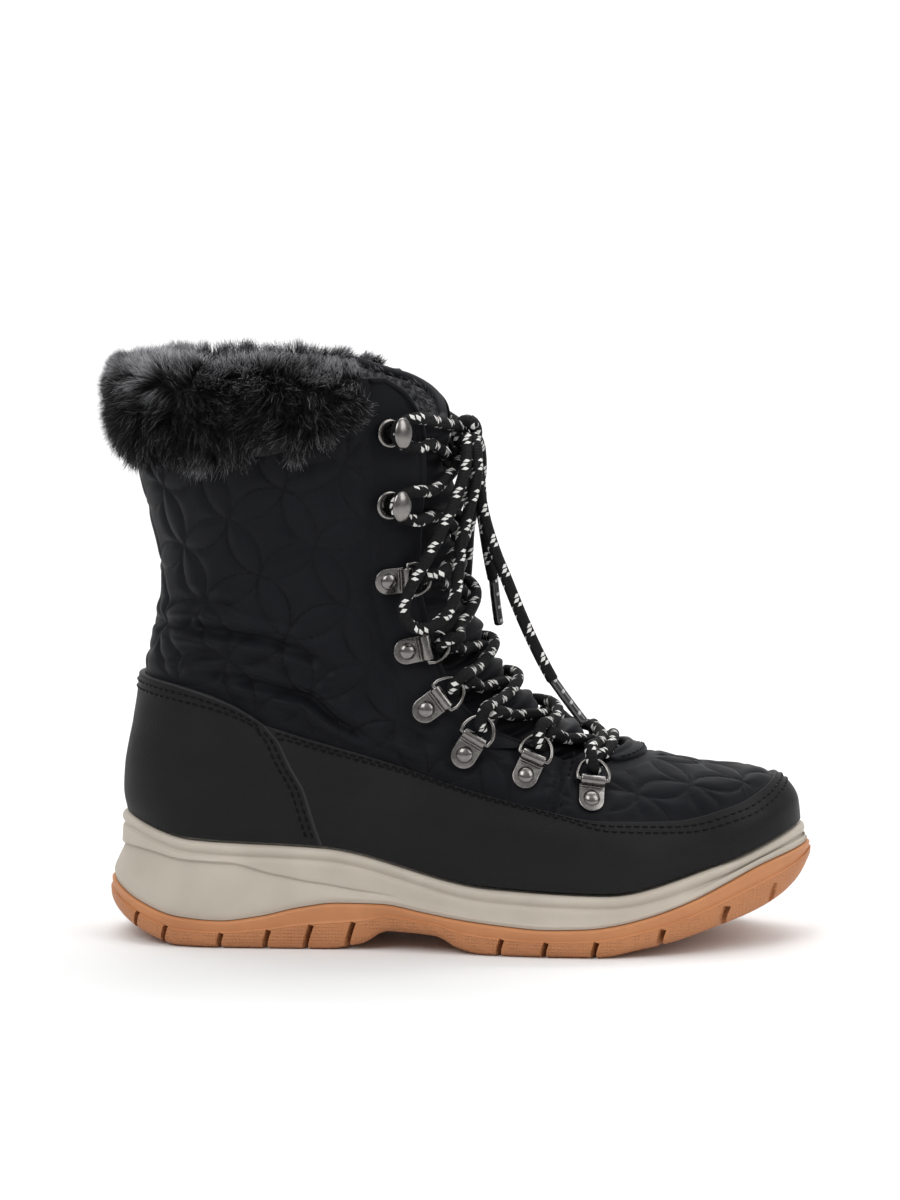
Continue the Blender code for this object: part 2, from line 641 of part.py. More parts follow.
def build_hooks():
    """Lace hooks: a round base, a neck that leans to the front and an oval head, two on each side."""
    low, high = HOOK_NECK
    for number, z in enumerate(HOOK_Z, start=1):
        turn, v = side_view_place(HOOK_X, z)
        for name, side in SIDES.items():
            hook_name = f"lace_hook_{name}_{number}"
            shape = bmesh.new()
            verts = [shape.verts.new((r * MM, 0, h * MM)) for r, h in HOOK_PROFILE]
            edges = [shape.edges.new(pair) for pair in zip(verts, verts[1:])]
            bmesh.ops.spin(shape, geom=verts + edges, axis=(0, 0, 1), cent=(0, 0, 0),
                           angle=math.tau, steps=HOOK_STEPS, use_merge=True)
            bmesh.ops.remove_doubles(shape, verts=shape.verts, dist=0.00001)
            for vert in shape.verts:
                share = min(max((vert.co.z / MM - low) / (high - low), 0.0), 1.0)
                narrow = 1 + (HOOK_HEAD_NARROW - 1) * share
                vert.co.x = vert.co.x * narrow + HOOK_HEAD_SHIFT * share * MM
            hook = add_object(hook_name, mesh_from(shape, hook_name), "dark_nickel", PARTS)
            seat = OVERLAY_GAP + EYESTAY_THICK + HARDWARE_SEAT
            hook.matrix_world = surface_frame(side * turn, v, (side * (turn + 0.05), v), seat)


def smooth_route(points, step):
    """Points a step apart along a smooth curve through the route's own points."""
    ends = [2 * points[0] - points[1]] + points + [2 * points[-1] - points[-2]]
    fine = []
    for a, b, c, d in zip(ends, ends[1:], ends[2:], ends[3:]):
        for k in range(12):
            t = k / 12
            fine.append(0.5 * (2 * b + (c - a) * t + (2 * a - 5 * b + 4 * c - d) * t ** 2
                               + (3 * b - a - 3 * c + d) * t ** 3))
    fine.append(points[-1])
    lengths = [0.0]
    for a, b in zip(fine, fine[1:]):
        lengths.append(lengths[-1] + (b - a).length)
    count = max(2, round(lengths[-1] / step))
    route = []
    for k in range(count + 1):
        want = lengths[-1] * k / count
        i = max(j for j in range(len(fine) - 1) if lengths[j] <= want + 1e-9)
        t = (want - lengths[i]) / (lengths[i + 1] - lengths[i])
        route.append(fine[i].lerp(fine[i + 1], t))
    return route


def add_tube(name, points, radius, finish, collection):
    """Round cord along points, with filled ends."""
    curve = bpy.data.curves.new(name, "CURVE")
    curve.dimensions = "3D"
    curve.bevel_depth = radius * MM
    curve.bevel_resolution = 1
    curve.use_fill_caps = True
    spline = curve.splines.new("POLY")
    spline.points.add(len(points) - 1)
    for knot, point in zip(spline.points, points):
        knot.co = (*(point * MM), 1.0)
    return add_object(name, curve, finish, collection)


def meshed_tube(name, points, finish, collection):
    """Cord as a mesh, which can be joined to another."""
    tube = add_tube(name + "_path", points, LACE_RADIUS, None, collection)
    bpy.context.view_layer.update()
    mesh = bpy.data.meshes.new_from_object(tube.evaluated_get(bpy.context.evaluated_depsgraph_get()))
    mesh.name = name
    shape = bmesh.new()
    shape.from_mesh(mesh)
    bmesh.ops.remove_doubles(shape, verts=shape.verts, dist=0.00001)
    bmesh.ops.recalc_face_normals(shape, faces=shape.faces)
    shape.to_mesh(mesh)
    shape.free()
    mesh.shade_smooth()
    curve = tube.data
    bpy.data.objects.remove(tube, do_unlink=True)
    bpy.data.curves.remove(curve)
    return add_object(name, mesh, finish, collection)


def lace_stops():
    """Turn, level and clearance at which the lace reaches each row, from the bottom up."""
    stops = [side_view_place(row.tip_x, row.tip_z) + (LACE_RING_CLEAR,) for row in RING_ROWS]
    return stops + [side_view_place(HOOK_X, z) + (LACE_HOOK_CLEAR,) for z in HOOK_Z]


def shifted_stop(stop, up):
    """A lace stop moved towards the throat's middle by its clearance, and up or down its row."""
    turn, v, clear = stop
    turn_speed = (last_point(turn + 0.01, v) - last_point(turn, v)).length / 0.01
    level_speed = (last_point(turn, v + 0.1) - last_point(turn, v)).length / 0.1
    return turn + clear / turn_speed, v + up * LACE_PAIR_SHIFT / level_speed


def crossing_points(lower, upper, side):
    """One diagonal of a lace crossing, from a lower stop on one side to an upper one opposite."""
    start, v_start = shifted_stop(lower, 1)
    end, v_end = shifted_stop(upper, -1)
    points = []
    for k in range(LACE_POINTS):
        t = k / (LACE_POINTS - 1)
        turn = start + t * (2 - start - end)
        lift = LACE_EDGE_LIFT + (LACE_MIDDLE_LIFT - LACE_EDGE_LIFT) * math.sin(math.pi * t) ** 0.8
        points.append(last_offset(side * turn, v_start + t * (v_end - v_start), lift))
    return points


def top_strand(stop, side):
    """Lace from the top hook of one side to the knot."""
    turn, v = shifted_stop(stop, 1)
    start = last_offset(side * turn, v, LACE_EDGE_LIFT)
    x, y, z = TOP_STRAND_END
    end = Vector((x, side * y, z))
    points = []
    for k in range(TOP_STRAND_POINTS):
        t = k / (TOP_STRAND_POINTS - 1)
        bulge = Vector((0, side * TOP_STRAND_BULGE * math.sin(math.pi * t), 0))
        points.append(start.lerp(end, t) + bulge)
    return points


def build_lace():
    """Lace: a bar at the bottom, crossings up the throat, and a bow at the top."""
    stops = lace_stops()
    turn, v = shifted_stop(stops[0], -1)
    bar = []
    for k in range(LACE_POINTS):
        t = k / (LACE_POINTS - 1)
        lift = LACE_EDGE_LIFT + (LACE_MIDDLE_LIFT + 2.0 - LACE_EDGE_LIFT) * math.sin(math.pi * t)
        bar.append(last_offset(-1 * (turn + t * (2 - 2 * turn)), v, lift))
    meshed_tube("lace_bar", bar, "lace_braid", PARTS)
    for number, (lower, upper) in enumerate(zip(stops, stops[1:]), start=1):
        name = f"lace_cross_{number}"
        over = meshed_tube(name, crossing_points(lower, upper, -1), "lace_braid", PARTS)
        join_with(over, meshed_tube(name + "_under", crossing_points(lower, upper, 1), None, CUTTERS))
    for name, side in SIDES.items():
        add_tube("lace_top_" + name, top_strand(stops[-1], side), LACE_RADIUS, "lace_braid", PARTS)
    shape = bmesh.new()
    size = Matrix.Diagonal((*(s * MM for s in KNOT_SIZE), 1.0))
    place = Matrix.Translation(Vector(KNOT_CENTRE) * MM) @ size
    bmesh.ops.create_uvsphere(shape, u_segments=12, v_segments=8, radius=1.0, matrix=place)
    add_object("lace_knot", mesh_from(shape, "lace_knot"), "lace_braid", PARTS)
    step = 4.5 * LACE_RADIUS
    for name, side in SIDES.items():
        loop = [Vector((x, -side * y, z)) for x, y, z in LOOP_ROUTE]
        add_tube("lace_loop_" + name, smooth_route(loop, step), LACE_RADIUS, "lace_braid", PARTS)
    for name, route in (("long", END_LONG_ROUTE), ("short", END_SHORT_ROUTE)):
        points = smooth_route([Vector(p) for p in route], step)
        add_tube("lace_end_" + name, points, LACE_RADIUS, "lace_braid", PARTS)
    for name, route in (("long", AGLET_LONG_ROUTE), ("short", AGLET_SHORT_ROUTE)):
        add_tube("lace_tip_" + name, [Vector(p) for p in route], AGLET_RADIUS, "aglet_plastic", PARTS)


def sole_half(share, side):
    """Half width of the sole at a share of its length, before its ends close."""
    return SOLE_OUTER_LINE(share) if side < 0 else SOLE_INNER_LINE(share)


def sole_ends(share):
    """How far the sole's rounded ends close the outline at a share of its length."""
    whole = SOLE_FRONT - SOLE_BACK
    return round_end(share * whole / HEEL_ROUND) * round_end((1 - share) * whole / TOE_ROUND)


def sole_ring(inset, height):
    """Closed ring of the sole's outline, drawn in by inset(x), at height(x)."""
    ring = []
    back = SOLE_BACK + inset(SOLE_BACK)
    length = SOLE_FRONT - inset(SOLE_FRONT) - back
    for column in range(-SOLE_COLUMNS, SOLE_COLUMNS):
        share = share_of_turn(abs(column) / SOLE_COLUMNS)
        side = -1 if column < 0 else 1
        x = back + share * length
        half = (sole_half(share, side) - inset(x)) * sole_ends(share)
        ring.append(Vector((x, CENTRE(x) + side * half, height(x))))
    return ring


def cap_strips(shape, ring):
    """Close a ring with strips from side to side, one for each pair of columns."""
    count = len(ring)
    half = count // 2
    for i in range(half):
        corners = [ring[half - i], ring[half - i - 1], ring[(half + i + 1) % count], ring[(half + i) % count]]
        loop = [c for k, c in enumerate(corners) if c is not corners[k - 1]]
        shape.faces.new(loop)


def add_stack(name, rings, finish):
    """Solid from a stack of closed rings, closed by strips at its top and bottom."""
    shape = bmesh.new()
    made = [[shape.verts.new(point * MM) for point in ring] for ring in rings]
    for low, high in zip(made, made[1:]):
        for i in range(len(low)):
            j = (i + 1) % len(low)
            shape.faces.new((low[i], low[j], high[j], high[i]))
    cap_strips(shape, made[0])
    cap_strips(shape, made[-1])
    return add_object(name, mesh_from(shape, name), finish, PARTS)


def feather(x):
    """Height of the midsole's top, which follows the upper's lowest level."""
    row, heights, _, _ = level_ring(0)
    return heights((x - row.back_x) / (row.front_x - row.back_x)) - UPPER_SEAT


def build_midsole():
    """Foam midsole: a rim with a groove under it, a crease along the heel and a flared foot."""
    side_draw = Line(DRAW_X, SIDE_DRAW)
    crease_draw = Line(DRAW_X, CREASE_DRAW)

    def at_share(share, x):
        foot = OUTSOLE_TOP(x) + SEAT_GAP
        return foot + share * (feather(x) - foot)

    def crease(lift):
        return lambda x: at_share(CREASE(x), x) + lift

    def below_top(drop):
        return lambda x: feather(x) - drop

    rings = [
        sole_ring(lambda x: 0.6, lambda x: at_share(0.0, x)),
        sole_ring(lambda x: 0.2, lambda x: at_share(0.1, x)),
        sole_ring(lambda x: crease_draw(x) - 0.3, crease(-CREASE_HALF)),
        sole_ring(crease_draw, crease(0.0)),
        sole_ring(lambda x: side_draw(x) - 0.3, crease(CREASE_HALF)),
        sole_ring(side_draw, below_top(RIM_TALL + RIM_GROOVE_TALL)),
        sole_ring(lambda x: side_draw(x) + RIM_GROOVE, below_top(RIM_TALL + RIM_GROOVE_TALL / 2)),
        sole_ring(side_draw, below_top(RIM_TALL)),
        sole_ring(side_draw, below_top(1.0)),
        sole_ring(lambda x: side_draw(x) + 1.0, feather),
    ]
    add_stack("midsole", rings, "midsole_foam")


def groove_cutter():
    """Slanted slots between the lugs, along both edges of the sole."""
    shape = bmesh.new()
    lean = Matrix.Rotation(math.radians(GROOVE_LEAN), 4, "Y")
    for x in GROOVES_X:
        share = (x - SOLE_BACK) / (SOLE_FRONT - SOLE_BACK)
        top = TREAD(x) + GROOVE_SHARE * (OUTSOLE_TOP(x) - TREAD(x))
        for side in SIDES.values():
            edge = CENTRE(x) + side * sole_half(share, side) * sole_ends(share)
            turn = Matrix.Rotation(math.radians(GROOVE_TURN) * side, 4, "Z")
            size = Matrix.Diagonal((GROOVE_WIDE * MM, GROOVE_DEEP * MM, (top - GROOVE_BELOW) * MM, 1.0))
            place = Matrix.Translation(Vector((x, edge, (top + GROOVE_BELOW) / 2)) * MM)
            bmesh.ops.create_cube(shape, size=1.0, matrix=place @ turn @ lean @ size)
    cutter = add_object("lug_grooves", mesh_from(shape, "lug_grooves"), None, CUTTERS)
    mark_cutter(cutter)
    return cutter


def build_outsole():
    """Rubber outsole with an arch, toe spring, a smooth upper band and lugs round its edge."""
    rings = [
        sole_ring(lambda x: 2.4, TREAD),
        sole_ring(lambda x: -0.4, lambda x: TREAD(x) + 2.0),
        sole_ring(lambda x: -1.2, lambda x: 0.45 * TREAD(x) + 0.55 * OUTSOLE_TOP(x)),
        sole_ring(lambda x: -0.8, lambda x: OUTSOLE_TOP(x) - 0.9),
        sole_ring(lambda x: 0.6, OUTSOLE_TOP),
    ]
    outsole = add_stack("outsole", rings, "gum_rubber")
    cut = outsole.modifiers.new("lugs", "BOOLEAN")
    cut.operation = "DIFFERENCE"
    cut.solver = "EXACT"
    cut.object = groove_cutter()


def build_insole():
    """Pile-covered footbed on the midsole, inside the upper's wall."""
    row, _, outer, inner = level_ring(0)

    def ring(lift, draw):
        points = []
        whole = row.front_x - row.back_x
        for column in range(-INSOLE_COLUMNS, INSOLE_COLUMNS):
            share = share_of_turn(abs(column) / INSOLE_COLUMNS)
            side = -1 if column < 0 else 1
            x = row.back_x + draw + share * (whole - 2 * draw)
            ends = round_end(share * whole / row.back_round)
            ends *= round_end((1 - share) * whole / row.front_round)
            half = ((outer if side < 0 else inner)(share) - draw) * ends
            points.append(Vector((x, CENTRE(x) + side * half, feather(x) + lift)))
        return points

    draw = UPPER_WALL + INSOLE_CLEAR
    top = INSOLE_SEAT + INSOLE_THICK
    rings = [ring(INSOLE_SEAT, draw), ring(top - 0.8, draw), ring(top, draw + 0.9)]
    add_stack("insole", rings, "pile_lining")


def new_collection(name):
    collection = bpy.data.collections.new(name)
    bpy.context.scene.collection.children.link(collection)
    return collection


for leftover in list(bpy.data.objects):
    bpy.data.objects.remove(leftover, do_unlink=True)
PARTS = new_collection(BOOT)
CUTTERS = new_collection(BOOT + "_cutters")
MATERIALS = {name: new_material(name) for name in FINISHES}

build_outsole()
build_midsole()
build_insole()
build_upper()
build_tongue()
build_rand()
build_heel_counter()
for side_name, side_sign in SIDES.items():
    build_eyestay(side_name, side_sign)
build_throat_overlay()
build_fur_cuff()
build_rings()
build_hooks()
build_lace()
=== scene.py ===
"""Winter boot for the right foot: its looks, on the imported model.

Millimetres in the tables, metres in the scene. +X runs to the toe, +Z up, and the
outer side of the foot is -Y. The tables and the last are those of the part's source.
"""
import math

import bmesh
import bpy
import numpy as np
from mathutils import Matrix, Vector, kdtree


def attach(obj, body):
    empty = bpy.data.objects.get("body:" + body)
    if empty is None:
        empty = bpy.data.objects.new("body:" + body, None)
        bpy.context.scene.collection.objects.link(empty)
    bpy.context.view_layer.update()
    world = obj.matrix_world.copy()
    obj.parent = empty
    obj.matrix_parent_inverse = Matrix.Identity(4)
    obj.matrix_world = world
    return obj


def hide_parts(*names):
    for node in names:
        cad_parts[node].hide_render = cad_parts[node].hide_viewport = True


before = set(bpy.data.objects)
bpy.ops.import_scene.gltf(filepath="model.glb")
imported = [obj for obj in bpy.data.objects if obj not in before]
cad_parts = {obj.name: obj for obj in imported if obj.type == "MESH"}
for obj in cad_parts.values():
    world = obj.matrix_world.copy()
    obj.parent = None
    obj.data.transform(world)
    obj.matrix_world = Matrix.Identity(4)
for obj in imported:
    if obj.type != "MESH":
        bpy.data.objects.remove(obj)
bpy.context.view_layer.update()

MM = 0.001
SIDES = {"lateral": -1, "medial": 1}

# Camera, read from the photograph
CAMERA_TARGET = (91.0, 0.0, 131.0)
CAMERA_AZIMUTH = 3.5
CAMERA_ELEVATION = 6.0
CAMERA_DISTANCE = 1500.0
CAMERA_LENS = 115.8
CAMERA_SENSOR = 36.0

# The last: levels from the feather line to above the collar, read at shares of each ring
STATIONS = (0.0, 0.10, 0.30, 0.55, 0.72, 0.88, 1.0)
LEVELS = np.array([
    (-33.0, 226.0, 48.5, 41.5, 39.0, 25.2, 23.8, 33.2, 45.0, 31.5, 33.0, 40.5, 46.0, 36.0, 36, 46),
    (-34.5, 225.0, 57.0, 51.0, 48.5, 36.0, 33.5, 42.0, 53.5, 33.0, 35.0, 42.0, 47.0, 36.5, 37, 46),
    (-34.0, 220.0, 66.0, 61.5, 59.0, 47.0, 43.5, 51.0, 60.8, 34.0, 36.0, 41.5, 45.5, 34.5, 37, 46),
    (-32.5, 211.0, 75.0, 71.0, 68.5, 57.0, 52.0, 58.5, 65.0, 34.5, 36.0, 39.5, 42.5, 31.5, 37, 45),
    (-31.0, 194.0, 82.0, 78.0, 75.0, 64.0, 58.5, 62.5, 66.6, 34.5, 36.0, 38.0, 40.0, 31.5, 37, 46),
    (-30.0, 178.0, 88.0, 84.5, 81.0, 70.0, 64.5, 65.3, 69.5, 34.5, 35.5, 37.0, 38.5, 33.0, 37, 44),
    (-29.0, 163.0, 94.0, 91.0, 88.0, 76.0, 70.5, 68.8, 74.2, 35.0, 35.5, 36.5, 37.0, 34.0, 38, 42),
    (-28.0, 144.0, 103.0, 101.0, 98.0, 87.0, 80.5, 78.0, 85.0, 35.0, 35.5, 36.0, 36.0, 33.0, 38, 42),
    (-25.5, 126.0, 112.0, 110.5, 108.0, 98.0, 92.0, 88.5, 96.0, 35.5, 36.0, 36.5, 36.0, 33.0, 38, 44),
    (-22.5, 112.5, 122, 121, 119, 111.0, 106.0, 103.0, 110.5, 36.0, 37.0, 38.0, 37.0, 34.0, 39, 47),
    (-20.5, 104.0, 135, 134, 133, 128.5, 125.5, 124.5, 129.0, 37.0, 38.5, 39.5, 38.5, 35.0, 41, 50),
    (-21.5, 100.0, 150, 149.5, 149, 146.5, 144.5, 144.0, 147.0, 38.0, 40.0, 41.0, 40.0, 36.0, 43, 52),
    (-25.0, 98.0, 165.0, 165.0, 165.0, 164.0, 163.0, 162.5, 165.0, 40.0, 42.0, 43.0, 42.0, 37.0, 45, 52),
    (-29.0, 96.0, 182.0, 182.5, 183.0, 183.0, 183.0, 182.5, 183.5, 42.0, 44.0, 45.0, 44.0, 39.0, 47, 52),
    (-32.5, 94.0, 200.0, 200.5, 201.0, 201.0, 200.5, 200.0, 200.5, 43.5, 46.0, 47.0, 45.5, 40.0, 49, 52),
    (-34.5, 90.5, 219.0, 219.0, 219.5, 219.5, 219.0, 218.5, 217.5, 44.5, 47.5, 48.5, 46.5, 41.0, 50, 52),
    (-35.0, 86.0, 233.0, 233.0, 233.5, 233.5, 233.0, 232.0, 231.0, 45.0, 48.0, 49.0, 47.0, 41.5, 50, 52),
])
TOP_LEVEL = len(LEVELS) - 1.0
BACK_X, FRONT_X, BACK_ROUND, FRONT_ROUND = 0, 1, 14, 15
HEIGHTS = slice(2, 9)
WIDTHS = [9, 9, 10, 11, 12, 13, 13]
INNER_PINCH = np.array((0.0, 0.0, 2.0, 3.0, 1.5, -1.5, -1.5))
PINCH_FADES_BY = 8.0
THROAT_BASE = 6.0
COLLAR = 15.0

# Walls and overlays
UPPER_WALL = 2.6
TONGUE_THICK = 3.2
TONGUE_UNDER = 3.6
TONGUE_TUCK = 0.10
OVERLAY_GAP = 0.6
RAND_OUT = 1.8
COUNTER_OUT = 2.4
EYESTAY_OUT = 1.8
EYESTAY_WIDE = 18.0
EYESTAY_LEVELS = (6.9, 14.95)
EYESTAY_FUR_GAP = 3.5
STRIP_SEAT_LEVEL = 6.2
HARDWARE_SEAT = 0.7
PANEL_FOOT = 0.12
FUR_END_X = 60.0
THROAT_OVERLAY_X = 154.0
THROAT_OVERLAY_TOP = 5.94
THROAT_OVERLAY_DEEP = (0.1, 0.3)
UPPER_SEAT = 0.5
SEAT_GAP = 0.3

# Lace hardware, from the bottom row up: rivet x, z and ring tip x, z in the side view
RING_ROWS = (
    (147, 59, 147, 73), (122, 68, 128, 80.5), (99, 76, 108, 90),
    (84, 93, 96, 101.5), (76, 115, 89, 117), (69, 142, 84, 143))
HOOK_X = 69.0
HOOK_Z = (171.0, 198.0)
BARREL_X = 7.2
BARREL_Z = 2.1
RING_HALF = 6.2
RING_REACH = 9.0
RING_WIRE = 0.8

# Lace
LACE_RADIUS = 2.3
LACE_STEP = 1.3
LACE_PAIR_SHIFT = 2.7
LACE_RING_CLEAR = 2.4
LACE_HOOK_CLEAR = 13.0
KNOT_CENTRE = (97.4, 0.0, 196.0)
TOP_STRAND_END = (93.8, 5.9, 199.2)
LOOP_ROUTE = (
    (98.1, -8.9, 194.7), (98, -18.8, 184), (95, -26.2, 173), (90.4, -33.2, 162), (85, -39.2, 151),
    (79.8, -43, 142), (76.6, -45, 134), (77.3, -45, 127.5), (82.8, -44, 124.5), (89.5, -41, 127),
    (94.5, -36, 134), (96, -31, 145), (97, -26.5, 157), (99.5, -21.5, 168), (102, -17, 179),
    (102, -11.5, 189), (100.5, -6, 195))
END_LONG_ROUTE = (
    (98.9, -3.4, 190.8), (101.6, -8.5, 183), (102.8, -11.5, 176), (105, -14, 165), (109, -16.5, 152.5),
    (114, -18, 140.5), (119, -19.5, 128.5), (123.5, -20.2, 118.5), (128, -21, 109.5), (131.6, -21.4, 103))
END_SHORT_ROUTE = (
    (99.4, 2.5, 189.8), (102.2, 3, 179), (103, 4, 168), (104.4, 5, 157), (106, 5, 147), (107.6, 5, 139))
AGLET_LONG_ROUTE = ((131.9, -21.4, 102.5), (137.6, -22, 94.7), (143.6, -22.5, 86.9))
AGLET_SHORT_ROUTE = ((107.7, 5, 138.6), (108.6, 5, 130), (109.8, 5, 121.5))
AGLET_RADIUS = 1.9

# Sole
SOLE_BACK = -41.0
SOLE_FRONT = 230.5
SOLE_STATIONS = (0.0, 0.10, 0.20, 0.35, 0.50, 0.65, 0.72, 0.80, 0.92, 1.0)
SOLE_OUTER = (36.5, 37.0, 38.5, 38.5, 43.5, 49.5, 50.0, 46.5, 36.0, 33.0)
SOLE_INNER = (36.5, 36.5, 37.0, 35.5, 39.5, 47.5, 49.0, 47.0, 38.0, 35.0)
HEEL_ROUND = 40.0
TOE_ROUND = 47.0
GROOVES_X = (-30, -18, 4, 22, 38, 54, 112, 129, 148, 172, 194, 211)
GROOVE_WIDE = 2.0
GROOVE_DEEP = 14.0
GROOVE_SHARE = 0.62
GROOVE_TURN = 24.0
GROOVE_LEAN = 18.0
GROOVE_BELOW = -6.0
RIM_TALL = 4.0
RIM_GROOVE_TALL = 1.2


def knot_line(places, values, at):
    """Smooth line through knots that never swings past them. The values may be one row of
    knots for all, or a row for each place that is asked for."""
    places = np.asarray(places, float)
    values = np.asarray(values, float)
    at = np.clip(np.asarray(at, float), places[0], places[-1])
    rises = np.diff(values, axis=-1) / np.diff(places)
    before, after = rises[..., :-1], rises[..., 1:]
    same_way = before * after > 0
    inner = np.where(same_way, 2 * before * after / np.where(same_way, before + after, 1.0), 0.0)
    slopes = np.concatenate([rises[..., :1], inner, rises[..., -1:]], axis=-1)
    k = np.clip(np.searchsorted(places, at, side="right") - 1, 0, len(places) - 2)

    def pick(table, index):
        if table.ndim == 1:
            return table[index]
        return np.take_along_axis(table, index[..., None], axis=-1)[..., 0]

    gap = places[k + 1] - places[k]
    t = (at - places[k]) / gap
    keep = (1 + 2 * t) * (1 - t) ** 2
    lift = gap * t * (1 - t) * ((1 - t) * pick(slopes, k) - t * pick(slopes, k + 1))
    return keep * pick(values, k) + (1 - keep) * pick(values, k + 1) + lift


def line(places, values):
    return lambda at: knot_line(places, values, at)


CENTRE = line((-42, 40, 100, 150, 195, 231), (0, 0, -1.5, -0.5, 3, 6))
THROAT = line(
    (6, 7, 8, 9, 10, 11, 12, 13, 14, 14.6, 15), (151, 123, 102.5, 92, 84.5, 81, 81.5, 83, 81.2, 75.8, 66))
RAND_TOP = line(
    (23, 36, 68, 99, 130, 151, 177, 202, 211, 217, 222), (86, 82, 73, 63, 55, 51, 50, 55, 59, 63, 68))
COUNTER_EDGE = line((36, 48, 61, 70, 80, 86), (46, 42, 38, 33, 28, 23))
COUNTER_TOP = line((-30, -13, 0, 10, 17, 23), (103, 101, 98, 94, 90, 86))
TREAD = line(
    (-42, -35, -29, -21, -12, 45, 60, 69, 88, 97, 107, 150, 164, 178, 192, 206, 217, 226, 232),
    (12, 8, 5, 2.2, 0, 0, 2.5, 7.5, 6.5, 2, 0, 0, 2.5, 5.2, 9, 13, 17.5, 23.5, 31))
OUTSOLE_TOP = line(
    (-42, -29, -12, 4, 20, 35, 50, 67, 83, 99, 114, 130, 146, 157, 170, 185, 198, 213, 232),
    (23, 16.5, 11.5, 10.5, 12.5, 16, 18, 18, 15.5, 13, 11.5, 10.5, 11, 12.5, 15.5, 20.5, 26, 32.5, 38))
CREASE = line((-42, -20, 7, 26, 41, 60, 80, 232), (0.48, 0.70, 0.74, 0.56, 0.38, 0.24, 0.2, 0.2))
SIDE_DRAW = line((-42, 0, 60, 80, 232), (3.6, 2.1, 1.7, 1.6, 1.3))
CREASE_DRAW = line((-42, 0, 60, 80, 232), (4.6, 3.0, 1.9, 0.9, 0.9))
VAMP_CROWN = line((138, 163, 194, 226), (80, 74.2, 66.6, 45))


def smooth(t):
    t = np.clip(t, 0.0, 1.0)
    return t * t * (3 - 2 * t)


def round_end(part):
    """Quarter-ellipse that closes a ring at its end."""
    return np.sqrt(1 - (1 - np.clip(part, 0.0, 1.0)) ** 2)


def level_values(v):
    levels = np.arange(len(LEVELS))
    return np.stack([knot_line(levels, LEVELS[:, j], v) for j in range(LEVELS.shape[1])], axis=-1)


def last_point(turn, v):
    """Points of the upper's outer face. The turn runs from -1, the front, by the outer side
    to 0, the back, and by the inner side to 1, the front again."""
    turn, v = np.broadcast_arrays(np.asarray(turn, float), np.asarray(v, float))
    turn = (turn + 1) % 2 - 1
    row = level_values(v)
    share = (1 - np.cos(np.pi * np.abs(turn))) / 2
    length = row[..., FRONT_X] - row[..., BACK_X]
    ends = round_end(share * length / row[..., BACK_ROUND])
    ends = ends * round_end((1 - share) * length / row[..., FRONT_ROUND])
    fade = np.where(turn < 0, 0.0, np.clip(1 - v / PINCH_FADES_BY, 0, 1))
    half = knot_line(STATIONS, row[..., WIDTHS] - fade[..., None] * INNER_PINCH, share) * ends
    x = row[..., BACK_X] + share * length
    y = CENTRE(x) + np.where(turn < 0, -half, half)
    return np.stack([x, y, knot_line(STATIONS, row[..., HEIGHTS], share)], axis=-1)


def unit(vectors):
    return vectors / np.maximum(np.linalg.norm(vectors, axis=-1, keepdims=True), 1e-9)


def last_normal(turn, v, step=0.004):
    """Outward directions of the upper's face."""
    turn, v = np.broadcast_arrays(np.asarray(turn, float), np.asarray(v, float))
    along = last_point(turn + step, v) - last_point(turn - step, v)
    low = np.maximum(v - 0.05, 0.0)
    up = last_point(turn, low + 0.1) - last_point(turn, low)
    return unit(np.cross(up, along))


def last_offset(turn, v, out):
    return last_point(turn, v) + last_normal(turn, v) * np.asarray(out, float)[..., None]


def turn_at_x(x, v):
    row = level_values(np.asarray(v, float))
    share = (x - row[..., BACK_X]) / (row[..., FRONT_X] - row[..., BACK_X])
    return np.arccos(1 - 2 * np.clip(share, 0, 1)) / np.pi


def solve(rises_through_zero, low, high, rounds=36):
    """Places between low and high where a rising function crosses zero."""
    for _ in range(rounds):
        middle = (low + high) / 2
        under = rises_through_zero(middle) < 0
        low = np.where(under, middle, low)
        high = np.where(under, high, middle)
    return (low + high) / 2


def side_view_place(x, z):
    """Turn and level of the points of the upper's side that the side view shows at x, z."""
    x, z = np.broadcast_arrays(np.asarray(x, float), np.asarray(z, float))

    def above(v):
        row = level_values(v)
        share = (x - row[..., BACK_X]) / (row[..., FRONT_X] - row[..., BACK_X])
        return np.where(share < 1, knot_line(STATIONS, row[..., HEIGHTS], share) - z, 1.0)

    v = solve(above, np.zeros_like(x), np.full_like(x, TOP_LEVEL))
    return turn_at_x(x, v), v


def throat_turn(v):
    v = np.maximum(v, THROAT_BASE)
    return turn_at_x(THROAT(v), v)


def counter_edge_turn(v, shift):
    """Turn of the counter's front edge at each level, moved along X by shift."""
    def past(turn):
        point = last_point(-turn, v)
        return point[..., 0] - COUNTER_EDGE(point[..., 2]) - shift

    return solve(past, np.zeros_like(v), np.full_like(v, 0.9))


# Quilting: circles that overlap on a square lattice, so that four petals meet at each node
QUILT_PITCH = 24.5
QUILT_RADIUS = math.sqrt(0.5)
QUILT_TURN = math.radians(25.0)
QUILT_NODE = (42.5, 154.0)
VAMP_TURN = math.radians(36.0)
VAMP_NODE = (184.5, -28.3)
QUILT_SOFT = 5.2
QUILT_TALL = 1.3
QUILT_WARP = 1.4
VAMP_PUFF = 0.9
UNSEWN = 1000.0
SEWN_PITCH = 2.9
SEWN_SHARE = 0.7
SEWN_THREAD = (0.2, 0.42)
SEWN_TROUGH = 0.8

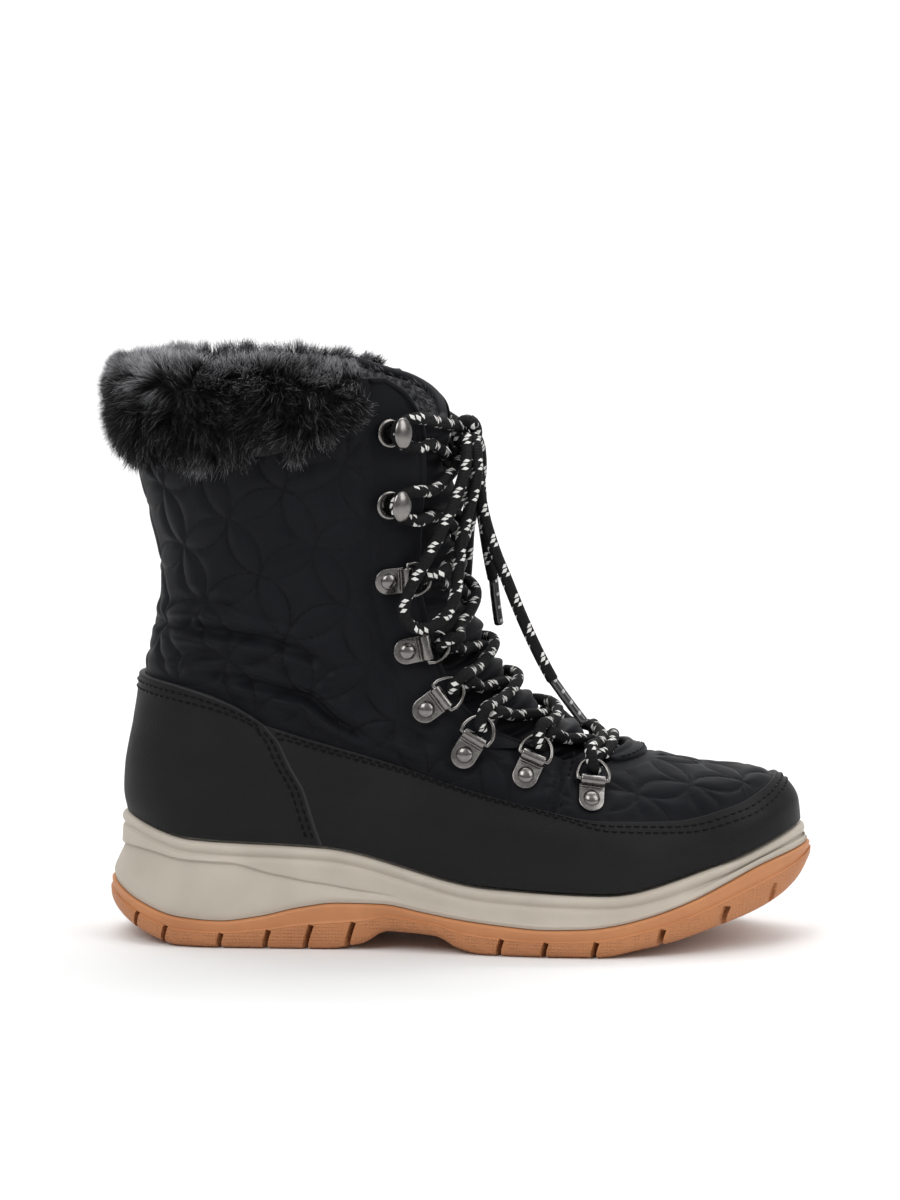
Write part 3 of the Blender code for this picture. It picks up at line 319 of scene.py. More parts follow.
# White flecks of the lace and of its tips, and the braid under them
FLECK_ROWS = 3.0
FLECK_ROW_WIDE = 4.8
FLECK_ROW_SHIFT = 4.1
FLECK_PERIOD = 12.3
FLECK_GROUP = 5.25
FLECK_STEP = 1.75
FLECK_LONG = 1.3
FLECK_SLANT = 0.9
FLECK_CENTRE = 1.05
FLECK_HALF = 0.95
BRAID_ALONG = 2.6
BRAID_AROUND = 18.85
TIP_FLECK_PERIOD = 5.2
TIP_FLECK_LONG = 1.2
TIP_FLECK_SHARE = 0.4


class Field:
    """A socket of a node tree that can be used in Python sums."""

    def __init__(self, finish, socket):
        self.finish = finish
        self.socket = socket

    def maths(self, operation, first, second=0.0):
        return self.finish.add("ShaderNodeMath", {"operation": operation}, {0: first, 1: second})

    def __add__(self, other):
        return self.maths("ADD", self, other)

    __radd__ = __add__

    def __sub__(self, other):
        return self.maths("SUBTRACT", self, other)

    def __rsub__(self, other):
        return self.maths("SUBTRACT", other, self)

    def __mul__(self, other):
        return self.maths("MULTIPLY", self, other)

    __rmul__ = __mul__

    def __truediv__(self, other):
        return self.maths("DIVIDE", self, other)

    def __rtruediv__(self, other):
        return self.maths("DIVIDE", other, self)

    def __mod__(self, other):
        return self.maths("FLOORED_MODULO", self, other)

    def __rmod__(self, other):
        return self.maths("FLOORED_MODULO", other, self)

    def __pow__(self, other):
        return self.maths("POWER", self, other)

    def __rpow__(self, other):
        return self.maths("POWER", other, self)

    def __lt__(self, other):
        return self.maths("LESS_THAN", self, other)

    def __gt__(self, other):
        return self.maths("GREATER_THAN", self, other)

    def __abs__(self):
        return self.maths("ABSOLUTE", self)

    def floor(self):
        return self.maths("FLOOR", self)

    def sine(self):
        return self.maths("SINE", self)

    def most(self, other):
        return self.maths("MAXIMUM", self, other)

    def least(self, other):
        return self.maths("MINIMUM", self, other)

    def ramp(self, low, high, to_low=0.0, to_high=1.0):
        """Smooth step from one value to another as this goes from low to high."""
        return self.finish.add("ShaderNodeMapRange", {"interpolation_type": "SMOOTHSTEP"}, {
            "Value": self, "From Min": low, "From Max": high, "To Min": to_low, "To Max": to_high})


class Finish:
    """A material and the nodes that make it."""

    def __init__(self, name, slot, **constants):
        self.slot = slot
        self.material = bpy.data.materials.new(name)
        self.material.use_nodes = True
        self.nodes = self.material.node_tree.nodes
        self.links = self.material.node_tree.links
        self.shader = self.nodes["Principled BSDF"]
        for socket, value in constants.items():
            self.put(self.shader.inputs[socket.replace("_", " ").title().replace("Ior", "IOR")], value)

    def put(self, socket, value):
        if isinstance(value, Field):
            self.links.new(value.socket, socket)
        elif hasattr(value, "__len__") and len(value) == 3 and socket.type == "RGBA":
            socket.default_value = (*value, 1.0)
        else:
            socket.default_value = value

    def add(self, kind, settings=None, inputs=None, output=0):
        node = self.nodes.new(kind)
        for name, value in (settings or {}).items():
            setattr(node, name, value)
        for key, value in (inputs or {}).items():
            self.put(node.inputs[key], value)
        return Field(self, node.outputs[output])

    def place(self):
        return self.add("ShaderNodeTexCoord", output="Object")

    def uv(self):
        spot = self.add("ShaderNodeUVMap", {"uv_map": "UVMap"})
        return tuple(self.add("ShaderNodeSeparateXYZ", None, {0: spot}, output=k) for k in (0, 1))

    def noise(self, scale, detail=3.0):
        return self.add("ShaderNodeTexNoise", None, {
            "Vector": self.place(), "Scale": scale, "Detail": detail})

    def cells(self, scale, feature="F1", spread=1.0):
        return self.add("ShaderNodeTexVoronoi", {"feature": feature}, {
            "Vector": self.place(), "Scale": scale, "Randomness": spread})

    def mix(self, factor, first, second):
        return self.add("ShaderNodeMix", {"data_type": "RGBA"}, {0: factor, 6: first, 7: second}, output=2)

    def colour(self, value):
        self.put(self.shader.inputs["Base Color"], value)

    def rough(self, value):
        self.put(self.shader.inputs["Roughness"], value)

    def bump(self, height, strength, distance):
        normal = self.add("ShaderNodeBump", None, {
            "Height": height, "Strength": strength, "Distance": distance * MM})
        self.put(self.shader.inputs["Normal"], normal)


def nylon_finish():
    """Black nylon: a fine weave and a soft sheen, sewn along circles where the UV holds their lattice, with
    painted shade darkening the sewn troughs.
    """
    made = Finish(
        "nylon", "quilted_nylon", specular_ior_level=0.11, sheen_weight=0.05, sheen_roughness=0.45)
    cloud = made.noise(38.0)
    u, w = made.uv()
    a, b = abs((u + 0.5) % 1.0 - 0.5), abs((w + 0.5) % 1.0 - 0.5)
    sewn = []
    for near, along in ((a, b), (b, a)):
        across = 1.0 - near
        off = abs((across * across + along * along) ** 0.5 - QUILT_RADIUS) * QUILT_PITCH
        stitches = along.maths("ARCTAN2", along, across) * (QUILT_RADIUS * QUILT_PITCH / SEWN_PITCH)
        thread = off.ramp(*SEWN_THREAD, 1.0, 0.0) * (stitches % 1.0 < SEWN_SHARE)
        sewn.append((off.ramp(0.0, SEWN_TROUGH, 1.0, 0.0), thread))
    shown = (w < UNSEWN / 10) * made.noise(62.0).ramp(0.4, 0.62, 0.3, 1.0)
    trough, thread = [first.most(second) * shown for first, second in zip(*sewn)]
    body = made.mix(cloud.ramp(0.35, 0.65), (0.0032, 0.0036, 0.0053), (0.0052, 0.0056, 0.0075))
    # Painted shade: the colour darkens along the sewn troughs. The thread's own dark colour is real.
    made.colour(made.mix((trough * 0.22 + thread * 0.6).least(1.0), body, (0.0012, 0.0012, 0.0014)))
    made.rough(cloud.ramp(0.3, 0.7, 0.5, 0.64))
    weave = made.cells(2600.0) * 0.12 + made.noise(240.0, 5.0) * 0.3 - trough * 0.6 + thread * 0.55
    made.bump(weave, 0.6, 0.7)
    return made


def leather_finish():
    """Matt black coated leather with a fine grain, and a painted highlight along the cut edges that the UV
    marks.
    """
    made = Finish("leather", "coated_leather", specular_ior_level=0.14)
    cloud = made.noise(26.0, 4.0)
    body = made.mix(cloud.ramp(0.35, 0.7), (0.0076, 0.0076, 0.0082), (0.0104, 0.0103, 0.0110))
    # Painted highlight: the cut edge rows, marked by the UV, are mixed toward a lighter grey.
    made.colour(made.mix(made.uv()[1], body, (0.027, 0.027, 0.028)))
    made.rough(cloud.ramp(0.3, 0.7, 0.46, 0.58))
    grain = made.cells(1150.0, "SMOOTH_F1") * 0.8 + made.noise(520.0, 4.0) * 0.5 + made.noise(60.0) * 0.6
    made.bump(grain, 0.28, 0.35)
    return made


def foam_finish():
    """Greige moulded foam, a little mottled."""
    made = Finish("foam", "midsole_foam")
    cloud = made.noise(45.0, 5.0)
    made.colour(made.mix(cloud.ramp(0.3, 0.7), (0.425, 0.375, 0.315), (0.475, 0.425, 0.36)))
    made.rough(cloud.ramp(0.3, 0.7, 0.5, 0.62))
    made.bump(made.noise(700.0, 4.0), 0.12, 0.25)
    return made


def gum_finish():
    """Gum rubber: stippled lugs under a smooth band, with painted shade in the stipple's low parts."""
    made = Finish("gum", "gum_rubber")
    cloud = made.noise(50.0, 4.0)
    body = made.mix(cloud.ramp(0.3, 0.7), (0.44, 0.175, 0.066), (0.50, 0.21, 0.082))
    made.rough(cloud.ramp(0.3, 0.7, 0.48, 0.6))
    share = made.uv()[1]
    dots = made.cells(760.0, spread=0.12).ramp(0.15, 0.5)
    pads = share.ramp(0.42, 0.46, 1.0, 0.0)
    # Painted shade: the low parts between the stipple's bumps are darkened in colour.
    made.colour(made.mix(dots * pads * 0.4, body, (0.36, 0.13, 0.045)))
    made.bump(made.noise(600.0, 3.0) * 0.12 - dots * pads, 0.7, 0.5)
    return made


def pile_finish():
    """Short grey pile, with painted shade darkening the low parts between its tufts."""
    made = Finish("pile", "pile_lining", roughness=0.95, sheen_weight=0.3)
    tufts = made.noise(420.0, 6.0)
    # Painted shade: the colour follows the tufts' bump, darker where it is low.
    made.colour(made.mix(tufts.ramp(0.35, 0.65), (0.04, 0.04, 0.044), (0.2, 0.2, 0.21)))
    made.bump(tufts, 0.9, 2.0)
    return made


def fur_finish(name, root, tip):
    """Hair: dark at the root, paler at the tip, a little different from strand to strand by a tone that also
    carries painted shade.
    """
    made = Finish(name, "fur", roughness=0.6, specular_ior_level=0.2)
    tone, along = made.uv()
    pale = along ** 2.6 * tone
    made.colour(made.mix(pale.least(1.0), root, tip))
    return made


def felt_finish():
    """Dark backing under the hairs."""
    made = Finish("felt", "fur", roughness=0.95)
    cloud = made.noise(300.0, 5.0)
    made.colour(made.mix(cloud.ramp(0.35, 0.65), (0.003, 0.003, 0.0034), (0.011, 0.011, 0.012)))
    made.bump(cloud, 0.8, 1.5)
    return made


def nickel_finish():
    """Aged dark nickel with fine scratches."""
    made = Finish("nickel", "dark_nickel", metallic=1.0)
    cloud = made.noise(420.0, 4.0)
    made.colour(made.mix(cloud.ramp(0.35, 0.65), (0.19, 0.18, 0.172), (0.235, 0.225, 0.215)))
    made.rough(cloud.ramp(0.3, 0.7, 0.2, 0.28))
    made.bump(made.noise(1600.0, 3.0), 0.06, 0.2)
    return made


def shaded_dimple_finish():
    """Near-black finish for the dimple of a hook's base, where the neck meets it: painted shade."""
    made = Finish("dimple_shade", "dark_nickel", metallic=0.6)
    cloud = made.noise(600.0)
    made.colour(made.mix(cloud.ramp(0.3, 0.7), (0.01, 0.01, 0.01), (0.03, 0.028, 0.026)))
    made.rough(cloud.ramp(0.3, 0.7, 0.5, 0.7))
    return made


def lace_finish():
    """Black round braid with groups of slanted white flecks in three rows out of step."""
    made = Finish("lace", "lace_braid", specular_ior_level=0.15)
    along, around = made.uv()
    row = (around * FLECK_ROWS).floor()
    across = ((around * FLECK_ROWS) % 1.0 - 0.5) * FLECK_ROW_WIDE
    local = (along + row * FLECK_ROW_SHIFT) % FLECK_PERIOD
    within = local % FLECK_STEP
    sway = ((local / FLECK_STEP).floor() % 2.0) * FLECK_SLANT
    off = abs(across + sway + within * FLECK_SLANT - FLECK_CENTRE)
    fleck = (within < FLECK_LONG) * (local < FLECK_GROUP) * (off < FLECK_HALF)
    fibre = made.noise(900.0, 3.0)
    made.colour(made.mix(fleck, (0.006, 0.006, 0.0066), (0.66, 0.65, 0.63)))
    made.rough(fibre.ramp(0.3, 0.7, 0.7, 0.85))
    one_way = along * BRAID_ALONG + around * BRAID_AROUND
    other_way = along * BRAID_ALONG - around * BRAID_AROUND
    made.bump(one_way.sine() * other_way.sine() * 0.5 + fibre * 0.4, 0.7, 0.35)
    return made


def aglet_finish():
    """Clear film shrunk over the lace's end."""
    made = Finish("aglet", "aglet_plastic", coat_weight=0.8, coat_roughness=0.08)
    along, around = made.uv()
    local = (along + around * FLECK_ROWS) % TIP_FLECK_PERIOD
    fleck = (local < TIP_FLECK_LONG) * ((around * FLECK_ROWS) % 1.0 < TIP_FLECK_SHARE)
    made.colour(made.mix(fleck, (0.014, 0.014, 0.015), (0.32, 0.31, 0.30)))
    made.rough(made.noise(300.0).ramp(0.3, 0.7, 0.12, 0.25))
    return made


def thread_finish():
    """Waxed black sewing thread."""
    made = Finish("thread", "coated_leather", specular_ior_level=0.1)
    twist = made.noise(1500.0, 2.0)
    made.colour(made.mix(twist.ramp(0.3, 0.7), (0.0012, 0.0012, 0.0014), (0.0035, 0.0035, 0.004)))
    made.rough(twist.ramp(0.3, 0.7, 0.35, 0.5))
    return made


def floor_finish():
    """Even white backdrop."""
    made = Finish("floor", None)
    made.colour(made.mix(made.noise(4.0).ramp(0.3, 0.7), (0.80, 0.80, 0.80), (0.82, 0.82, 0.82)))
    made.rough(made.noise(9.0).ramp(0.3, 0.7, 0.6, 0.7))
    return made


WELD_GAP = 0.01


class Sheets:
    """Grids of points, in millimetres, gathered into one mesh."""

    def __init__(self):
        self.points = []
        self.faces = []
        self.spots = []
        self.count = 0

    def grid(self, points, uv=None, closed=False):
        """A grid with rows up and columns along. A closed one joins its last column to its first."""
        points = np.asarray(points, float)
        rows, columns = points.shape[:2]
        spans = columns if closed else columns - 1
        if uv is None:
            uv = np.zeros((rows, spans + 1, 2))
        r, c = np.meshgrid(np.arange(rows - 1), np.arange(spans), indexing="ij")
        corners = ((0, 0), (1, 0), (1, 1), (0, 1))
        quads = np.stack([(r + dr) * columns + (c + dc) % columns for dr, dc in corners], -1)
        spots = np.stack([(r + dr) * (spans + 1) + c + dc for dr, dc in corners], -1)
        self.points.append(points.reshape(-1, 3))
        self.faces.append(quads.reshape(-1, 4) + self.count)
        self.spots.append(np.asarray(uv).reshape(-1, 2)[spots.ravel()])
        self.count += rows * columns

    def mesh(self, name, weld=False):
        mesh = bpy.data.meshes.new(name)
        mesh.from_pydata(np.concatenate(self.points) * MM, [], np.concatenate(self.faces).tolist())
        layer = mesh.uv_layers.new(name="UVMap")
        layer.data.foreach_set("uv", np.concatenate(self.spots).ravel())
        if weld:
            shape = bmesh.new()
            shape.from_mesh(mesh)
            bmesh.ops.remove_doubles(shape, verts=shape.verts, dist=WELD_GAP * MM)
            shape.to_mesh(mesh)
            shape.free()
        mesh.shade_smooth()
        return mesh


def add_piece(name, mesh, finish, *nodes):
    """A mesh as a piece of the boot, in place of the named solids."""
    piece = bpy.data.objects.new(name, mesh)
    if not mesh.materials:
        mesh.materials.append(finish.material)
    bpy.context.scene.collection.objects.link(piece)
    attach(piece, "root")
    if nodes:
        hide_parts(*nodes)
    return piece


def add_sheet(name, points, finish, *nodes, uv=None, closed=False):
    """A piece made of one grid."""
    sheets = Sheets()
    sheets.grid(points, uv, closed)
    return add_piece(name, sheets.mesh(name), finish, *nodes)


def path_lengths(points):
    """Distance along a row of points to each of them."""
    return np.concatenate([[0.0], np.cumsum(np.linalg.norm(np.diff(points, axis=0), axis=1))])


ROUTE_PARTS = 16


def smooth_route(points, step):
    """Points a step apart along a smooth curve through the route's own points."""
    points = np.asarray(points, float)
    ends = np.vstack([2 * points[0] - points[1], points, 2 * points[-1] - points[-2]])
    t = np.arange(ROUTE_PARTS)[:, None] / ROUTE_PARTS
    fine = [0.5 * (2 * b + (c - a) * t + (2 * a - 5 * b + 4 * c - d) * t ** 2
                   + (3 * b - a - 3 * c + d) * t ** 3)
            for a, b, c, d in zip(ends, ends[1:], ends[2:], ends[3:])]
    fine = np.vstack(fine + [points[-1:]])
    lengths = path_lengths(fine)
    wanted = np.linspace(0, lengths[-1], max(3, int(round(lengths[-1] / step)) + 1))
    return np.stack([np.interp(wanted, lengths, fine[:, k]) for k in range(3)], axis=-1)


TUBE_SIDES = 14
TUBE_ASIDE = (0.31, 0.17, 0.93)
TUBE_CAPS = ((0.75, 0.35), (0.04, 0.5))


def tube_grid(route, radius, sides=TUBE_SIDES, capped=True):
    """Rings of points round a route, and their length and turn as UV."""
    route = np.asarray(route, float)
    tangents = unit(np.gradient(route, axis=0))
    normal = np.cross(tangents[0], TUBE_ASIDE)
    frames = []
    for tangent in tangents:
        normal = normal - tangent * np.dot(normal, tangent)
        normal = normal / np.linalg.norm(normal)
        frames.append((normal, np.cross(tangent, normal)))
    angles = np.arange(sides)[:, None] * 2 * np.pi / sides
    lengths = path_lengths(route)
    radii = np.broadcast_to(radius, (len(route),)).astype(float)

    def ring(k, share=1.0, push=0.0):
        across = np.cos(angles) * frames[k][0] - np.sin(angles) * frames[k][1]
        return route[k] + radii[k] * (share * across + push * tangents[k])

    rings = [ring(k) for k in range(len(route))]
    if capped:
        for share, push in TUBE_CAPS:
            rings = [ring(0, share, -push)] + rings + [ring(-1, share, push)]
            lengths = np.concatenate([lengths[:1], lengths, lengths[-1:]])
    turns = np.arange(sides + 1) / sides
    uv = np.stack(np.broadcast_arrays(lengths[:, None], turns[None, :]), axis=-1)
    return np.array(rings), uv


def add_tube(name, route, radius, finish, *nodes):
    points, uv = tube_grid(route, radius)
    return add_sheet(name, points, finish, *nodes, uv=uv, closed=True)


PIPING_SIDES = 16


def add_piping(name, route, radius, finish):
    """A tube without UV, so that its finish draws no sewn line on it."""
    return add_sheet(name, tube_grid(route, radius, PIPING_SIDES)[0], finish, closed=True)


def lattice(a, b, node, turn):
    """Places on the quilting's lattice, whose circles are centred on whole numbers."""
    da = a - node[0] + QUILT_WARP * np.sin(b / 13.0 + 0.7) * np.sin(a / 29.0)
    db = b - node[1] + QUILT_WARP * np.sin(a / 15.0 + 2.1) * np.sin(b / 23.0 + 1.0)
    u = (da * math.cos(turn) + db * math.sin(turn)) / QUILT_PITCH + 0.5
    w = (db * math.cos(turn) - da * math.sin(turn)) / QUILT_PITCH + 0.5
    return u, w


def quilt(u, w):
    """Height of the quilted face: low along the sewn circles, full between them."""
    a, b = np.abs(u - np.round(u)), np.abs(w - np.round(w))
    gap = np.minimum(np.abs(np.hypot(1 - a, b) - QUILT_RADIUS), np.abs(np.hypot(a, 1 - b) - QUILT_RADIUS))
    part = np.clip(gap * QUILT_PITCH / QUILT_SOFT, 0, 1)
    return QUILT_TALL * (1 - (1 - part) ** 2.6)


# Creases of the shaft in the side view: route, depth, half width and share of the ridges
CREASES = (
    (((-19, 123.5), (-10, 122.7), (0, 122.7), (13, 121.5), (25, 119.2), (36, 115), (48, 109.5)),
     2.4, 2.3, 1.3),
    (((-4, 105), (13, 104), (21, 102.1), (32, 99.4), (40, 97), (47, 90.4), (57, 83.8), (67, 77.3), (82, 70)),
     2.3, 2.2, 1.25),
    (((-17, 131.5), (-7, 134), (3, 133.5), (12, 129.5), (21, 127), (34, 124)), 1.2, 2.4, 0.7),
    (((-23, 107.5), (-15, 110), (-7, 113), (4, 114)), 1.4, 2.2, 0.9),
    (((50, 89), (64, 83.5), (78, 81.5), (92, 80)), 1.2, 2.8, 0.7),
    (((30, 88), (42, 85), (52, 80)), 0.9, 2.4, 0.6),
)
# Ridges below and above a crease: place and width in its half widths, and share
CREASE_RIDGES = ((2.0, 1.3, 1.0), (-2.0, 1.4, 0.75))
CREASE_FADE = 0.6
FAR = 1e9


def swell(at, wide):
    return np.exp(-(at / wide) ** 2)


def from_segment(x, z, start, end, most=1.0):
    """Share along a segment of the side view that is nearest to each place, and the distance."""
    dx, dz = end[0] - start[0], end[1] - start[1]
    t = np.clip(((x - start[0]) * dx + (z - start[1]) * dz) / (dx * dx + dz * dz), 0, most)
    return t, np.hypot(x - start[0] - t * dx, z - start[1] - t * dz)


def crease_relief(x, z):
    """Soft troughs with a ridge on each side, at places of the side view."""
    total = np.zeros(np.shape(x))
    for route, depth, wide, ridge in CREASES:
        best = np.full(np.shape(x), FAR)
        signed = np.zeros(np.shape(x))
        fade = np.zeros(np.shape(x))
        lengths = path_lengths(np.array(route, float))
        for k, (start, end) in enumerate(zip(route, route[1:])):
            t, gap = from_segment(x, z, start, end)
            nearer = gap < best
            best = np.where(nearer, gap, best)
            side = np.sign((z - start[1]) * (end[0] - start[0]) - (x - start[0]) * (end[1] - start[1]))
            signed = np.where(nearer, gap * side, signed)
            along = (lengths[k] + t * (lengths[k + 1] - lengths[k])) / lengths[-1]
            arch = np.sin(np.pi * np.clip(along * 0.9 + 0.05, 0, 1)) ** CREASE_FADE
            fade = np.where(nearer, arch, fade)
        total -= depth * fade * swell(best, wide)
        for place, broad, share in CREASE_RIDGES:
            total += share * depth * ridge * fade * swell(signed + place * wide, broad * wide)
    return total


ARC_TURNS = np.linspace(0, 1, 161)
ARC_LEVELS = np.linspace(0, TOP_LEVEL, 65)
ARC_MEETS_X = 36.0


def arc_table():
    """Distance along each level, equal to x where the quilting was read from the photograph."""
    turn, v = np.meshgrid(ARC_TURNS, ARC_LEVELS)
    points = last_point(-turn, v)
    steps = np.linalg.norm(np.diff(points[..., :2], axis=1), axis=-1)
    lengths = np.concatenate([np.zeros((len(ARC_LEVELS), 1)), np.cumsum(steps, axis=1)], axis=1)
    start = [np.interp(ARC_MEETS_X, row[:, 0], length) for row, length in zip(points, lengths)]
    return lengths - np.array(start)[:, None] + ARC_MEETS_X


ARCS = arc_table()


def unrolled_x(turn, v):
    """Distance along the shaft's side, which follows the curve round the heel."""
    column = np.abs((turn + 1) % 2 - 1) * (len(ARC_TURNS) - 1)
    row = v / TOP_LEVEL * (len(ARC_LEVELS) - 1)
    j = np.minimum(column.astype(int), len(ARC_TURNS) - 2)
    i = np.minimum(row.astype(int), len(ARC_LEVELS) - 2)
    s, t = column - j, row - i
    low = ARCS[i, j] * (1 - s) + ARCS[i, j + 1] * s
    high = ARCS[i + 1, j] * (1 - s) + ARCS[i + 1, j + 1] * s
    return low * (1 - t) + high * t


SEAM_FOOT = (132.4, 56.8)
SEAM_SLOPE = 0.256
SEAM_TOP_Z = 77.0
SEAM_DEEP = 1.6
SEAM_WIDE = 1.0
SEAM_RIDGE = 0.8
SEAM_RIDGE_AT = 3.2
SEAM_RIDGE_WIDE = 2.0
PLATE_PART = 0.7
PLATE_PLAIN = 5.5
BAND_PLAIN_X = 132.0
BAND_PLAIN_LEVEL = 5.55
OFF_THROAT = 60.0
COUNTER_END_X = 23.0
FOLDS_END_X = 120.0
VAMP_WRAP = 0.8


def rivet_gap(x, z):
    """Distance in the side view from the nearest ring plate."""
    gaps = [from_segment(x, z, row[:2], row[2:], PLATE_PART)[1] for row in RING_ROWS]
    return np.min(gaps, axis=0)


def quilted_part(x, z, v):
    """How much of the quilting is left at places of the upper, none by the throat, band and plates,
    and how far behind the throat they are."""
    throat_gap = np.where(v > THROAT_BASE, THROAT(np.maximum(v, THROAT_BASE)) - x, OFF_THROAT)
    by_band = (v <= THROAT_BASE) & (x > BAND_PLAIN_X)
    part = smooth((throat_gap - EYESTAY_WIDE + 1) / 9)
    part = part * np.where(by_band, smooth((BAND_PLAIN_LEVEL - v) / 0.3), 1.0)
    part = part * smooth((rivet_gap(x, z) - PLATE_PLAIN) / 4)
    return part, throat_gap


def upper_relief(turn, v):
    """How far the upper's face stands out of the last, and its quilting's lattice as UV."""
    points = last_point(turn, v)
    x, y, z = points[..., 0], points[..., 1], points[..., 2]
    shaft = lattice(unrolled_x(turn, v), z, QUILT_NODE, QUILT_TURN)
    across = y + np.sign(y) * np.maximum(VAMP_CROWN(x) - z, 0) * VAMP_WRAP
    vamp = lattice(x, across, VAMP_NODE, VAMP_TURN)
    past_seam = x - SEAM_FOOT[0] - (z - SEAM_FOOT[1]) * SEAM_SLOPE
    on_vamp = past_seam > 0
    part, throat_gap = quilted_part(x, z, v)
    edge = z - np.where(x > COUNTER_END_X, RAND_TOP(x), COUNTER_TOP(x))
    face = np.where(on_vamp, VAMP_PUFF * quilt(*vamp), quilt(*shaft)) * part
    face = face * smooth(np.abs(past_seam) / 4) * smooth((edge - 0.5) / 6)
    seam = SEAM_DEEP * swell(past_seam, SEAM_WIDE)
    seam = seam - SEAM_RIDGE * swell(past_seam - SEAM_RIDGE_AT, SEAM_RIDGE_WIDE)
    seam = seam * smooth((SEAM_TOP_Z - z) / 3)
    folds = np.where(x > FOLDS_END_X, 0.0, crease_relief(x, z)) * smooth((edge - 1.0) / 8)
    uv = np.stack([np.where(on_vamp, a, b) for a, b in zip(vamp, shaft)], axis=-1)
    uv[..., 1] += np.where(part > 0.5, 0.0, UNSEWN)
    return face + folds * smooth((throat_gap - 6) / 12) - seam, uv


# Lowest level of the upper's face and lining, and rows and columns of their grids
UPPER_FOOT = 0.9
LINING_FOOT = 0.3
SHAFT_GRID = (190, 400)
VAMP_GRID = (100, 150)
LINING_GRID = (60, 160)


def shaft_places(foot, rows, columns):
    """Turns and levels of the shaft, from one edge of the throat round the back to the other."""
    v = np.linspace(foot, COLLAR, rows)[:, None]
    turn = throat_turn(v) * np.linspace(-1, 1, columns)[None, :]
    return turn, np.broadcast_to(v, turn.shape)


def vamp_places(foot, rows, columns):
    """Turns and levels of the vamp, from the inner side round the toe to the outer one."""
    v = np.linspace(foot, THROAT_BASE, rows)[:, None]
    edge = float(throat_turn(THROAT_BASE))
    turn = edge + (2 - 2 * edge) * np.linspace(0, 1, columns)[None, :]
    return np.broadcast_arrays(turn, v)


def build_upper(nylon, pile):
    """Quilted shaft and vamp, and the pile lining behind them."""
    face, lining = Sheets(), Sheets()
    for places, size in ((shaft_places, SHAFT_GRID), (vamp_places, VAMP_GRID)):
        turn, v = places(UPPER_FOOT, *size)
        relief, uv = upper_relief(turn, v)
        face.grid(last_offset(turn, v, relief), uv)
        turn, v = places(LINING_FOOT, *LINING_GRID)
        lining.grid(last_offset(turn, v, np.full(turn.shape, -UPPER_WALL))[:, ::-1])
    add_piece("upper_quilted", face.mesh("upper_quilted"), nylon, "upper")
    add_piece("upper_lining", lining.mesh("upper_lining"), pile)


# Leather panels: rows of the face, and shares and drops of the rows that turn in at a cut edge
PANEL_BODY = 0.98
EDGE_SHARES = (0.988, 0.994, 0.998, 1.0, 1.0)
EDGE_DROPS = (0.0, 0.15, 0.5, 1.1, 2.2)
PANEL_ROUNDS = 22
RAND_GRID = (34, 230)
RAND_UNDER = 3.0
RAND_HIGHEST = 7.0
COUNTER_GRID = (46, 130)
COUNTER_HIGHEST = 8.0


def edge_highlight_uv(drops):
    """UV whose second part marks the cut edge of a panel, where the leather's colour is lightened as a
    painted highlight.
    """
    highlight_mark = np.where((drops > 0.05) & (drops < 1.5), 1.0, 0.0)
    return np.stack([np.zeros_like(highlight_mark), highlight_mark], axis=-1)


def panel_rows(rows):
    """Shares of the way up a panel and how far each row lies under its face."""
    shares = np.concatenate([np.linspace(0, PANEL_BODY, rows), EDGE_SHARES])
    return shares, np.concatenate([np.zeros(rows), EDGE_DROPS])


def panel_places(turn_at, top_line, highest, columns, shares):
    """Levels of a panel's top edge, and turns and levels of its points from the foot up to it."""
    def over_top(v):
        point = last_point(turn_at(v), v)
        return point[..., 2] - top_line(point[..., 0])

    top = solve(over_top, np.zeros(columns), np.full(columns, highest), rounds=PANEL_ROUNDS)
    v = PANEL_FOOT + (top - PANEL_FOOT)[None, :] * shares[:, None]
    return top, np.stack([turn_at(row) for row in v]), v


def build_rand(leather):
    """Mudguard from one end of the heel counter round the toe to the other."""
    along = np.linspace(0, 1, RAND_GRID[1])
    shares, drops = panel_rows(RAND_GRID[0])
    sheets = Sheets()
    tops = {}
    for side in SIDES.values():
        def turn_at(v):
            edge = counter_edge_turn(v, -RAND_UNDER)
            return side * (edge + (1 - edge) * along)

        tops[side], turn, v = panel_places(turn_at, RAND_TOP, RAND_HIGHEST, len(along), shares)
        depth = np.broadcast_to(drops[:, None], v.shape)
        points = last_offset(turn, v, RAND_OUT - depth)
        sheets.grid(points[:, ::-1] if side > 0 else points, edge_highlight_uv(depth))
    add_piece("rand_panel", sheets.mesh("rand_panel", weld=True), leather, "rand")
    return along, tops


def build_heel_counter(leather):
    """Heel panel, from its front edge on one side round the back to the other."""
    rows, columns = COUNTER_GRID
    shares, drops = panel_rows(rows)
    rim = np.array(EDGE_SHARES)
    across = np.concatenate([-rim[::-1], np.linspace(-PANEL_BODY, PANEL_BODY, columns), rim])
    side_drops = np.concatenate([EDGE_DROPS[::-1], np.zeros(columns), EDGE_DROPS])

    def turn_at(v):
        return across * counter_edge_turn(v, 0.0)

    top, turn, v = panel_places(turn_at, COUNTER_TOP, COUNTER_HIGHEST, len(across), shares)
    depth = np.maximum(drops[:, None], side_drops[None, :])
    points = last_offset(turn, v, COUNTER_OUT - depth)
    add_sheet("heel_counter_panel", points, leather, "heel_counter", uv=edge_highlight_uv(depth))
    return across, top


# Eyestays: shares of the width from the front edge back, and the lift at each
EYESTAY_SHARES = (0, 0, 0, 0.02, 0.06, 0.12, 0.15, 0.18, 0.24, 0.4, 0.6, 0.8, 0.9, 1.0)
EYESTAY_LIFTS = (-3.2, -0.6, 0.6, 1.5, 1.9, 1.8, 1.25, 1.55, 1.6, 1.5, 1.2, 0.8, 0.5, 0.1)
EYESTAY_ROWS = 130
EYESTAY_LAP = 0.2
EYESTAY_RIM = 3
PIPING_FROM = 108
PIPING_RADIUS = 1.15
PIPING_STEP = 1.2


